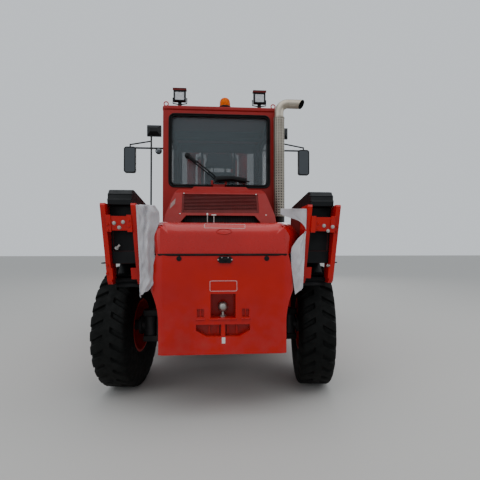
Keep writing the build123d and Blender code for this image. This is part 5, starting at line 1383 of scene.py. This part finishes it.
bands = Trim("shield_bands", "stainless", "exhaust_shield")
for z in (SHIELD_Z[0] + BAND_INSET, SHIELD_Z[1] - BAND_INSET):
    loop = [(PIPE_X + u, PIPE_Y + v, z) for u, v in circle(SHIELD_RADIUS, 32)]
    bands.tube(loop, BAND_RADIUS, 6, closed=True)
for z in BRACKETS_Z:
    bands.block((BRACKET_X[0], PIPE_Y + BRACKET_FROM, z - BRACKET_HALF),
                (BRACKET_X[1], CAB_REAR + 0.002, z + BRACKET_HALF))
bands.done(0.001)

# %% The pipe: bright above the shield, painted dark for the shade within it, and sooted at its mouth
STACK_LOW, STACK_HIGH = (0.30, 0.26, 0.20, 1.0), (0.48, 0.44, 0.37, 1.0)
# the pipe is painted near black below the shield's top, for the shade inside the shield
STACK_PAINTED_SHADE, PAINTED_SHADE_BELOW = (0.016, 0.014, 0.012, 1.0), (3.43, 3.44)
PIPE_RADIUS, PIPE_FOOT, MOUTH_Z, BEND, BEND_STEPS, MOUTH_X = 0.063, 1.80, 3.625, 0.125, 12, 1.218
MOUTH_SLANT, MOUTH_TURN, WALL, SOOT_DEPTH = 0.55, 0.62, 0.005, 0.090
FOOT_X, FOOT_HALF, FOOT_HIGH = (0.700, PIPE_X + 0.040), 0.060, 0.020


def stack_finish():
    finish = Finish("stack_steel")
    shade_in_shield = finish.along("Z", *PAINTED_SHADE_BELOW)
    finish.colour(finish.mix(shade_in_shield, STACK_PAINTED_SHADE, finish.tones(STACK_LOW, STACK_HIGH, 5.0, 6.0)))
    finish.roughness(0.28, 0.46, 9.0)
    finish.set(Metallic=0.75)
    finish.bump(finish.noise(150.0, 3.0), 0.0003, 0.4)
    return finish.material


finishes["stack"] = stack_finish()
path = [(PIPE_X, PIPE_Y, PIPE_FOOT), (PIPE_X, PIPE_Y, MOUTH_Z - BEND)]
for step in range(1, BEND_STEPS + 1):
    angle = math.pi / 2 * step / BEND_STEPS
    path.append((PIPE_X + BEND * (1 - math.cos(angle)), PIPE_Y, MOUTH_Z - BEND + BEND * math.sin(angle)))
path += [(PIPE_X + BEND + 0.08, PIPE_Y, MOUTH_Z), (MOUTH_X - PIPE_RADIUS, PIPE_Y, MOUTH_Z)]
stack = Trim("exhaust_stack", "stack", "exhaust_pipe")
stack.tube(path, PIPE_RADIUS, 32)
stack.work.faces.ensure_lookup_table()
mouth = stack.work.faces[-1]
for vertex in mouth.verts:      # the pipe is cut so that its upper and far edges reach furthest
    vertex.co.x += MOUTH_SLANT * (vertex.co.z - MOUTH_Z) + MOUTH_TURN * (vertex.co.y - PIPE_Y)
bmesh.ops.inset_individual(stack.work, faces=[mouth], thickness=WALL, use_even_offset=True)
bore = bmesh.ops.inset_individual(stack.work, faces=[mouth], thickness=0.001, use_even_offset=True)["faces"]
bmesh.ops.translate(stack.work, verts=mouth.verts, vec=(-SOOT_DEPTH, 0, 0))
for face in [mouth] + bore:
    face.material_index = 1
stack.block((FOOT_X[0], PIPE_Y - FOOT_HALF, PIPE_FOOT - FOOT_HIGH),
            (FOOT_X[1], PIPE_Y + FOOT_HALF, PIPE_FOOT))
stack.done(0, ("exhaust_pipe",)).data.materials.append(finishes["soot"])

# %% [markdown]
# ## The driver's seat
# The seat is foam under woven cloth: a rounded cushion and a tall tapered back, both fullest in their
# middles and drawn in at their corners. Foam like that is hard to draw by hand but easy to blow up, so
# a slightly smaller shape is remeshed evenly and inflated by a short cloth simulation with gravity off.
# The points may move only a little, which keeps the seat's size, and the result is baked in.

# %% Inflate a pad from a plain shape
PAD_VOXEL, PAD_FRAMES, PAD_SWELL = 0.012, 20, 0.014
PAD_PRESSURE, PAD_STIFF, PAD_QUALITY, PAD_RELAX, PAD_FILL = 4, 12, 4, 4, 0.6
SEAT_Y, FLOOR_Z = -1.500, 1.520
# rows of (half width, y at the back, y at the front, z), from the seat's place on the floor
SEAT_PADS = {
    "seat_cushion": ((0.225, -0.215, 0.225, 0.395), (0.242, -0.232, 0.242, 0.425),
                     (0.240, -0.230, 0.240, 0.460), (0.215, -0.205, 0.215, 0.486)),
    "seat_back": ((0.200, -0.235, -0.145, 0.520), (0.228, -0.262, -0.160, 0.700),
                  (0.238, -0.298, -0.200, 1.050), (0.225, -0.316, -0.220, 1.225),
                  (0.210, -0.312, -0.232, 1.245)),
    "seat_head_pad": ((0.205, -0.300, -0.240, 1.285), (0.222, -0.318, -0.226, 1.310),
                      (0.196, -0.322, -0.236, 1.500), (0.170, -0.312, -0.250, 1.530)),
}


def tapered_slab(name, rows):
    """A closed slab through the rows of a pad."""
    slab = Trim(name, "seat_cloth", "seat")
    rings = []
    for half, y_back, y_front, z in rows:
        rings.append([slab.work.verts.new((x, SEAT_Y + y, FLOOR_Z + z)) for x, y in
                      ((-half, y_back), (half, y_back), (half, y_front), (-half, y_front))])
    slab.skin(rings, closed=False)
    piece = piece_from(slab.work, name, "seat_cloth", None)
    bpy.context.scene.collection.objects.link(piece)
    return piece


def bake(piece):
    """Turn a piece's modifiers into its own mesh."""
    graph = bpy.context.evaluated_depsgraph_get()
    mesh = bpy.data.meshes.new_from_object(piece.evaluated_get(graph))
    piece.modifiers.clear()
    piece.data = mesh


def settle(piece, cloth, frames):
    """Run a cloth simulation to its last frame and keep the shape it ends in."""
    cloth.point_cache.frame_end = frames
    for moment in range(1, frames + 1):
        bpy.context.scene.frame_set(moment)
    bake(piece)
    bpy.context.scene.frame_set(1)


def finish_cloth(piece, finish):
    """Keep the modifiers' shape, smooth and of one finish."""
    bake(piece)
    for face in piece.data.polygons:
        face.use_smooth = True
    piece.data.materials.clear()
    piece.data.materials.append(finishes[finish])


def inflate(piece):
    """Remesh a shape evenly, blow it up a little by cloth simulation and smooth it."""
    remesh = piece.modifiers.new("even", "REMESH")
    remesh.mode = "VOXEL"
    remesh.voxel_size = PAD_VOXEL
    bake(piece)
    before = [vertex.co.copy() for vertex in piece.data.vertices]
    cloth = piece.modifiers.new("pad", "CLOTH")
    cloth.settings.effector_weights.gravity = 0
    cloth.settings.use_pressure = True
    cloth.settings.uniform_pressure_force = PAD_PRESSURE
    cloth.settings.quality = PAD_QUALITY
    cloth.settings.tension_stiffness = PAD_STIFF
    settle(piece, cloth, PAD_FRAMES)
    for vertex, start in zip(piece.data.vertices, before):
        moved = vertex.co - start
        if moved.length > PAD_SWELL:
            vertex.co = start + moved * (PAD_SWELL / moved.length)
    relax = piece.modifiers.new("relax", "SMOOTH")
    relax.iterations = PAD_RELAX
    finer = piece.modifiers.new("finer", "SUBSURF")
    finer.levels = finer.render_levels = 1
    finish_cloth(piece, "seat_cloth")
    print(piece.name, len(piece.data.vertices), "points")


pads = [tapered_slab(name, rows) for name, rows in SEAT_PADS.items()]
for pad in pads:
    inflate(pad)
    show(pad, "seat", ("seat",))

# %% The seat's base, slides and arm rests
# half width, half depth, foot and top above the floor: base plate, then the slides' plate
STAND_PLATES = ((0.190, 0.200, 0.0, 0.060), (0.200, 0.210, 0.340, 0.380))
# the bellows between them, of which every other fold is a little wider
FOLDS, FOLD_X, FOLD_Y, FOLD_FOOT = 5, 0.165, 0.175, 0.065
FOLD_PITCH, FOLD_HIGH, FOLD_GROW = 0.055, 0.052, 0.012
# (y, z) along an arm rest and along a bar of the head pad, from the seat's place
ARM_X, ARM_RADIUS, ARM = 0.262, 0.026, ((-0.245, 0.66), (0.02, 0.68), (0.05, 0.675))
BAR_X, BAR_RADIUS, BAR = 0.262 * 0.35, 0.008, ((-0.270, 1.20), (-0.275, 1.34))

stand = Trim("seat_stand", "moulding", "seat")
for half_x, half_y, foot, top in STAND_PLATES:
    stand.block((-half_x, SEAT_Y - half_y, FLOOR_Z + foot), (half_x, SEAT_Y + half_y, FLOOR_Z + top))
for step in range(FOLDS):
    foot = FLOOR_Z + FOLD_FOOT + FOLD_PITCH * step
    half_x, half_y = FOLD_X + FOLD_GROW * (step % 2), FOLD_Y + FOLD_GROW * (step % 2)
    stand.block((-half_x, SEAT_Y - half_y, foot), (half_x, SEAT_Y + half_y, foot + FOLD_HIGH))
for middle_x, radius, rail in ((ARM_X, ARM_RADIUS, ARM), (BAR_X, BAR_RADIUS, BAR)):
    for x in both_sides(middle_x):
        stand.tube([(x, SEAT_Y + y, FLOOR_Z + z) for y, z in rail], radius, 10)
stand.done(0.006)

# %% [markdown]
# ## The protective sheets
# New machines travel with their paint covered. Thin white cloth is tucked behind each inner stay and
# hangs down beside the tail, bunched at the top on the left and folded over once on the right. Each
# sheet starts as a flat grid of its true size, pressed together sideways into small waves between its
# held edges, and a cloth simulation with gravity lets the waves find their own folds.

# %% Hang a sheet between two edges
SHEET_FRAMES, SHEET_CELL, SHEET_COLUMNS, SHEET_Y, SHEET_THICK = 30, 0.018, 16, -3.954, 0.002
STAY_X, STAY_TUCK = 0.773, 0.002
# folds as (share of the wave, radians across, radians down), then where they are fullest and bunched
SHEET_FOLDS = ((1.0, 9.0, 2.4), (0.6, 17.0, -5.0), (0.35, 4.0, 31.0))
FULL_BY, FULL_LEAST, BUNCH_MORE, BUNCH_DOWN = 1.15, 0.25, 1.4, 0.22
# the crease: its place across, how far it drifts on the way down, its width
CREASE, CREASE_DRIFT, CREASE_WIDE = 0.64, 0.10, 0.11
SHEET_QUALITY, SHEET_MASS, SHEET_STIFF, FREE_EDGE_HELD = 8, 0.15, 30, 0.55


def stay_edge(z):
    return leaning(STAY_X, z) - STAY_TUCK


def edge_at(rows, z):
    """The free edge's distance from the middle of the truck, at a height."""
    for (x0, z0), (x1, z1) in zip(rows, rows[1:]):
        if z1 <= z <= z0:
            return x0 + (x1 - x0) * (z0 - z) / (z0 - z1)
    return rows[0][0] if z > rows[0][1] else rows[-1][0]


def hang(name, side, rows, z_high, z_low_hung, z_low_free, bending, wave, roll, seed):
    """A sheet from its held edge at the stay to a free edge given by rows of (x, z)."""
    chance = random.Random(seed)
    count_down = int((z_high - min(z_low_hung, z_low_free)) / SHEET_CELL)
    phases = [chance.uniform(0, 2 * math.pi) for _ in SHEET_FOLDS]
    work = bmesh.new()
    grid = []
    for down in range(count_down + 1):
        share = down / count_down
        row = []
        for across in range(SHEET_COLUMNS + 1):
            along = across / SHEET_COLUMNS
            z = z_high + share * (z_low_hung + (z_low_free - z_low_hung) * along - z_high)
            x = stay_edge(z) + (edge_at(rows, z) - stay_edge(z)) * along
            bend = math.sin(math.pi * min(1.0, FULL_BY * along)) + FULL_LEAST
            bunch = 1.0 + BUNCH_MORE * max(0.0, 1.0 - share / BUNCH_DOWN)
            fold = wave * bend * bunch * sum(
                part * math.sin(radians_across * along + phase + radians_down * share)
                for (part, radians_across, radians_down), phase in zip(SHEET_FOLDS, phases))
            tuck = roll * math.exp(-((along - CREASE + CREASE_DRIFT * share) / CREASE_WIDE) ** 2)
            row.append(work.verts.new((side * x, SHEET_Y - abs(fold) - tuck, z)))
        grid.append(row)
    for first, second in zip(grid, grid[1:]):
        for index in range(SHEET_COLUMNS):
            work.faces.new((first[index], first[index + 1], second[index + 1], second[index]))
    work.verts.index_update()
    held = [row[0].index for row in grid] + [vertex.index for vertex in grid[0]]
    loose_edge = [row[-1].index for row in grid[1:]]
    piece = piece_from(work, name, "sheet", None)
    bpy.context.scene.collection.objects.link(piece)
    flat_area = sum(face.area for face in piece.data.polygons)
    pins = piece.vertex_groups.new(name="held")
    pins.add(held, 1.0, "REPLACE")
    pins.add(loose_edge, FREE_EDGE_HELD, "REPLACE")
    cloth = piece.modifiers.new("hang", "CLOTH")
    cloth.settings.vertex_group_mass = "held"
    cloth.settings.pin_stiffness = 1.0
    cloth.settings.quality = SHEET_QUALITY
    cloth.settings.mass = SHEET_MASS
    cloth.settings.tension_stiffness = cloth.settings.compression_stiffness = SHEET_STIFF
    cloth.settings.bending_stiffness = bending
    settle(piece, cloth, SHEET_FRAMES)
    finer = piece.modifiers.new("finer", "SUBSURF")
    finer.levels = finer.render_levels = 1
    body = piece.modifiers.new("cloth", "SOLIDIFY")
    body.thickness = SHEET_THICK
    finish_cloth(piece, "sheet")
    measured = sum(face.area for face in piece.data.polygons) / 2
    print(name, "flat area", round(flat_area, 3), "hung area", round(measured, 3))
    return piece, max(flat_area, measured)


# rows of (x, z) down each free edge
LEFT_EDGE = ((0.640, 1.990), (0.597, 1.930), (0.593, 1.845), (0.640, 1.713), (0.643, 1.560), (0.630, 1.420),
             (0.609, 1.281), (0.700, 1.200), (0.800, 1.114))
RIGHT_TOP = ((0.556, 1.968), (0.553, 1.915), (0.700, 1.850), (0.795, 1.748))
RIGHT_EDGE = ((0.793, 1.745), (0.724, 1.687), (0.660, 1.600), (0.652, 1.540), (0.655, 1.440), (0.672, 1.300),
              (0.693, 1.138))
# name, side, free edge, top, low z at the stay and free edge, bending stiffness, wave, roll, seed
SHEETS = (("sheet_left", -1, LEFT_EDGE, 1.992, 1.120, 1.240, 0.02, 0.020, 0.040, 4),
          ("sheet_right_low", 1, RIGHT_EDGE, 1.752, 1.205, 1.140, 0.05, 0.009, 0.0, 9),
          ("sheet_right_top", 1, RIGHT_TOP, 1.970, 1.756, 1.900, 0.05, 0.004, 0.0, 12))
hung = [hang(*row) for row in SHEETS]
for piece, _ in hung:
    show(piece, "packing_sheets", ("packing_sheets",))
for piece, area in hung:
    corners = [Vector(corner) for corner in piece.bound_box]

# %% [markdown]
# ## Deck, steps and doors
# A person climbs this machine in wet boots, so the deck is chequer plate and each step carries a
# toothed bar. The raised diamonds are rolled into the real plate. Here they are thin blocks, each
# turned a quarter against its neighbours, laid only where the deck isn't covered by the cab.

# %% Chequer plate and step treads
DECK_TOP, DECK_EDGE = 1.460, 1.235
# spacing, half length, half width and height of a diamond
DIAMOND_PITCH, DIAMOND_LONG, DIAMOND_WIDE, DIAMOND_HIGH = 0.042, 0.015, 0.004, 0.0022
# low and high x, low and high y of the clear parts
CLEAR = ((0.845, DECK_EDGE, -2.10, 0.18), (-DECK_EDGE, -0.845, -2.10, 0.18), (-0.82, 0.82, -0.44, 0.18))

chequer = Trim("deck_chequer", "dark_paint", "deck")
for x0, x1, y0, y1 in CLEAR:
    for row in range(int((y1 - y0) / DIAMOND_PITCH)):
        for column in range(int((x1 - x0) / DIAMOND_PITCH)):
            x = x0 + DIAMOND_PITCH * (column + 0.5)
            y = y0 + DIAMOND_PITCH * (row + 0.5)
            chequer.block((x - DIAMOND_LONG, y - DIAMOND_WIDE, DECK_TOP - 0.001),
                          (x + DIAMOND_LONG, y + DIAMOND_WIDE, DECK_TOP + DIAMOND_HIGH),
                          45 if (row + column) % 2 else -45)
chequer.done(0)

STEP_Z, BARS_X, BAR_Y, BAR_HALF = (0.600, 1.020), (1.035, 1.095, 1.155, 1.205), (-1.140, -0.660), 0.006
TEETH, TOOTH_FROM, TOOTH_PITCH, TOOTH_LONG, TOOTH_HALF = 12, -1.120, 0.040, 0.014, 0.005
BAR_LOW, BAR_HIGH, TOOTH_LOW, TOOTH_HIGH = -0.002, 0.010, 0.009, 0.017

treads = Trim("step_treads", "zinc", "side_tanks")
for side in (-1, 1):
    for z in STEP_Z:
        for x in [side * reach for reach in BARS_X]:
            treads.block((x - BAR_HALF, BAR_Y[0], z + BAR_LOW), (x + BAR_HALF, BAR_Y[1], z + BAR_HIGH))
            for tooth in range(TEETH):
                y = TOOTH_FROM + TOOTH_PITCH * tooth
                treads.block((x - TOOTH_HALF, y, z + TOOTH_LOW),
                             (x + TOOTH_HALF, y + TOOTH_LONG, z + TOOTH_HIGH))
treads.done(0.001)

# %% Door hinges and tank caps
HINGE_Z, HINGE_AT_X, HINGE_AT_Y, LEAF_HALF, LEAF_LONG = (1.780, 3.220), 0.842, -1.765, 0.055, 0.065
LEAF_INNER = 0.975      # the leaf's inner side, as a share of the pin's distance from the middle
HINGE_SHAPE = ((-0.060, 0.015), (-0.020, 0.015), (-0.020, 0.012), (0.020, 0.012), (0.020, 0.015),
               (0.060, 0.015))
# x, y, radius: the filler on the right, then two on the left
CAPS, CAP_GRIP_HALF, CAP_GRIP_Z, CAP_INSET = (
    ((1.060, -1.880, 0.062), (-1.060, -1.880, 0.055), (-1.060, -1.640, 0.034)), 0.007, (0.058, 0.072), 0.010)
# height, and how much wider than the cap's radius
CAP_SHAPE = ((0.000, 0.012), (0.014, 0.012), (0.014, -0.006), (0.030, -0.006), (0.030, 0), (0.052, 0),
             (0.060, -0.008))

hinges = Trim("door_hinges", "dark_paint", "cab_sides")
for x in both_sides(HINGE_AT_X):
    for z in HINGE_Z:
        hinges.turned(HINGE_SHAPE, (x, HINGE_AT_Y, z), (0, 0, 1), 16)
        x_low, x_high = sorted((x, LEAF_INNER * x))
        hinges.block((x_low, HINGE_AT_Y - LEAF_LONG, z - LEAF_HALF), (x_high, HINGE_AT_Y, z + LEAF_HALF))
hinges.done(0.002)

caps = Trim("tank_caps", "dark_paint", "deck")
for x, y, radius in CAPS:
    caps.turned([(z, radius + wider) for z, wider in CAP_SHAPE], (x, y, DECK_TOP), (0, 0, 1), 28)
    half = radius - CAP_INSET
    caps.block((x - half, y - CAP_GRIP_HALF, DECK_TOP + CAP_GRIP_Z[0]),
               (x + half, y + CAP_GRIP_HALF, DECK_TOP + CAP_GRIP_Z[1]))
caps.done(0.002)

# %% [markdown]
# ## Hubs and mast
# The drive axle ends in planetary hubs with a bolted round cover, and the steered wheels have a small
# pressed cap over their bearings. On the mast the cylinders have gland rings where their rods come
# out, the leaf chains show two rows of rivet heads, and each fork has a pin that locks it on its bar.

# %% Hub covers
# wheel, side, radius of its cover
HUBS = (("front_left", -1, 0.135), ("front_right", 1, 0.135),
        ("rear_left", -1, 0.092), ("rear_right", 1, 0.092))
WHEEL_Z, HUB_BOLTS, HUB_BOLT, HUB_BOLT_OUT, HUB_BOLT_CIRCLE = 0.685, 8, (0.018, 0.010), 0.013, 0.90
# (distance out, share of the radius) from the step on
HUB_STEP, HUB_SHAPE = 0.006, ((0.016, 0.80), (0.044, 0.70), (0.052, 0.60), (0.054, 0.20))
for place, side, radius in HUBS:
    low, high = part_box("rim_" + place)
    centre = (low + high) / 2
    foot = touch("dressed_rim_" + place, (3 * side, centre.y, WHEEL_Z), (-side, 0, 0))[0]
    out = Vector((side, 0, 0))
    hub = Trim("hub_" + place, "rim_paint", "rim_" + place)
    hub.turned([(-0.02, radius), (0.012, radius), (0.016, radius - HUB_STEP)]
               + [(reach, share * radius) for reach, share in HUB_SHAPE], foot, out, 36)
    for index in range(HUB_BOLTS):
        angle = 2 * math.pi * (index + 0.5) / HUB_BOLTS
        around = Vector((0, math.cos(angle), math.sin(angle))) * HUB_BOLT_CIRCLE * radius
        hub.bolt(foot + around + HUB_BOLT_OUT * out, out, *HUB_BOLT)
    hub.done(0.0015)

# %% Cylinder glands, chain rivets and fork pins
LIFT_GLAND_X, LIFT_GLAND_Y, LIFT_GLAND_Z = 0.370, 0.820, 3.594
LIFT_GLAND = ((-0.050, 0.0715), (-0.045, 0.075), (-0.002, 0.075), (0.004, 0.071), (0.014, 0.056),
              (0.014, 0.0465))
TILT_FOOT_YZ, TILT_EYE_YZ, TILT_X, TILT_GLAND_AT = (-0.16, 1.12), (0.86, 1.50), 0.620, 0.755
TILT_GLAND = ((-0.040, 0.0575), (-0.036, 0.0605), (-0.003, 0.0605), (0.003, 0.056))
CHAIN_X, CHAIN_Z, RIVET_PITCH, RIVET_INSET, RIVET_REACH = 0.19, (1.30, 3.70), 0.032, 0.008, 0.09
RIVET = ((-0.001, 0.006), (0.003, 0.006), (0.0045, 0.003))
FORK_PIN_Y, FORK_PIN = 1.500, ((-0.01, 0.013), (0.040, 0.013), (0.040, 0.019), (0.052, 0.019))
FORK_GRIP = ((-0.032, 0.040), (-0.032, 0.085), (0.032, 0.085), (0.032, 0.040), (0, 0.036))

glands = Trim("lift_glands", "iron", "lift_barrels")
for x in both_sides(LIFT_GLAND_X):
    glands.turned(LIFT_GLAND, (x, LIFT_GLAND_Y, LIFT_GLAND_Z), (0, 0, 1), 32)
glands.done(0)

reach_y, reach_z = TILT_EYE_YZ[0] - TILT_FOOT_YZ[0], TILT_EYE_YZ[1] - TILT_FOOT_YZ[1]
tilt_length = math.hypot(reach_y, reach_z)
tilt_along = Vector((0, reach_y / tilt_length, reach_z / tilt_length))
tilt_glands = Trim("tilt_glands", "iron", "tilt_barrels")
for x in both_sides(TILT_X):
    tilt_glands.turned(TILT_GLAND, Vector((x, *TILT_FOOT_YZ)) + TILT_GLAND_AT * tilt_along, tilt_along, 28)
tilt_glands.done(0)

rivets = Trim("chain_rivets", "steel", "lift_chains")
low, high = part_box("lift_chains")
found = 0
for side in (-1, 1):
    for y in (low.y + RIVET_INSET, high.y - RIVET_INSET):
        for step in range(int((CHAIN_Z[1] - CHAIN_Z[0]) / RIVET_PITCH)):
            for out in (-1, 1):
                start = Vector((side * CHAIN_X + out * RIVET_REACH, y, CHAIN_Z[0] + RIVET_PITCH * step))
                hit = surface("lift_chains").ray_cast(start, Vector((-out, 0, 0)), 0.10)[0]
                if hit is not None:
                    rivets.turned(RIVET, hit, (out, 0, 0), 8)
                    found += 1
print("rivets", found)
rivets.done(0)

for name in ("fork_left", "fork_right"):
    low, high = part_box(name)
    middle = (low.x + high.x) / 2
    pin = Trim(name + "_pin", "zinc", name)
    pin.turned(FORK_PIN, (middle, FORK_PIN_Y, high.z - 0.004), (0, 0, 1), 16)
    pin.tube([(middle + x, FORK_PIN_Y, high.z + z) for x, z in FORK_GRIP], 0.005, 8)
    pin.done(0.001)

# %% Bolts on the mast
BOLT_Z, BOLT_APART, BOLT_HEAD = (1.10, 1.90, 2.70, 3.50), 0.045, (0.026, 0.014)
RAY_X, RAY_Y, LANDS_BEYOND = 1.3, 1.05, 0.6      # the lines' start, and how far out they must land
mast_bolts = Trim("mast_bolts", "zinc", "mast_outer")
for side in (-1, 1):
    for z in BOLT_Z:
        for offset in both_sides(BOLT_APART):
            hit = touch("dressed_mast_outer", (side * RAY_X, RAY_Y, z + offset), (-side, 0, 0))[0]
            if hit is not None and abs(hit.x) > LANDS_BEYOND:
                mast_bolts.bolt(hit, (side, 0, 0), *BOLT_HEAD)
mast_bolts.done(0.001)

# %% [markdown]
# ## The two sizes
# The dressed truck is meant to stay in the box of its measured frame, so both boxes are printed.

# %% Print the two boxes and finish
corners = {"cad": [list(corner) for corner in cad_box], "visual": [list(corner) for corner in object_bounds()]}
print(corners)
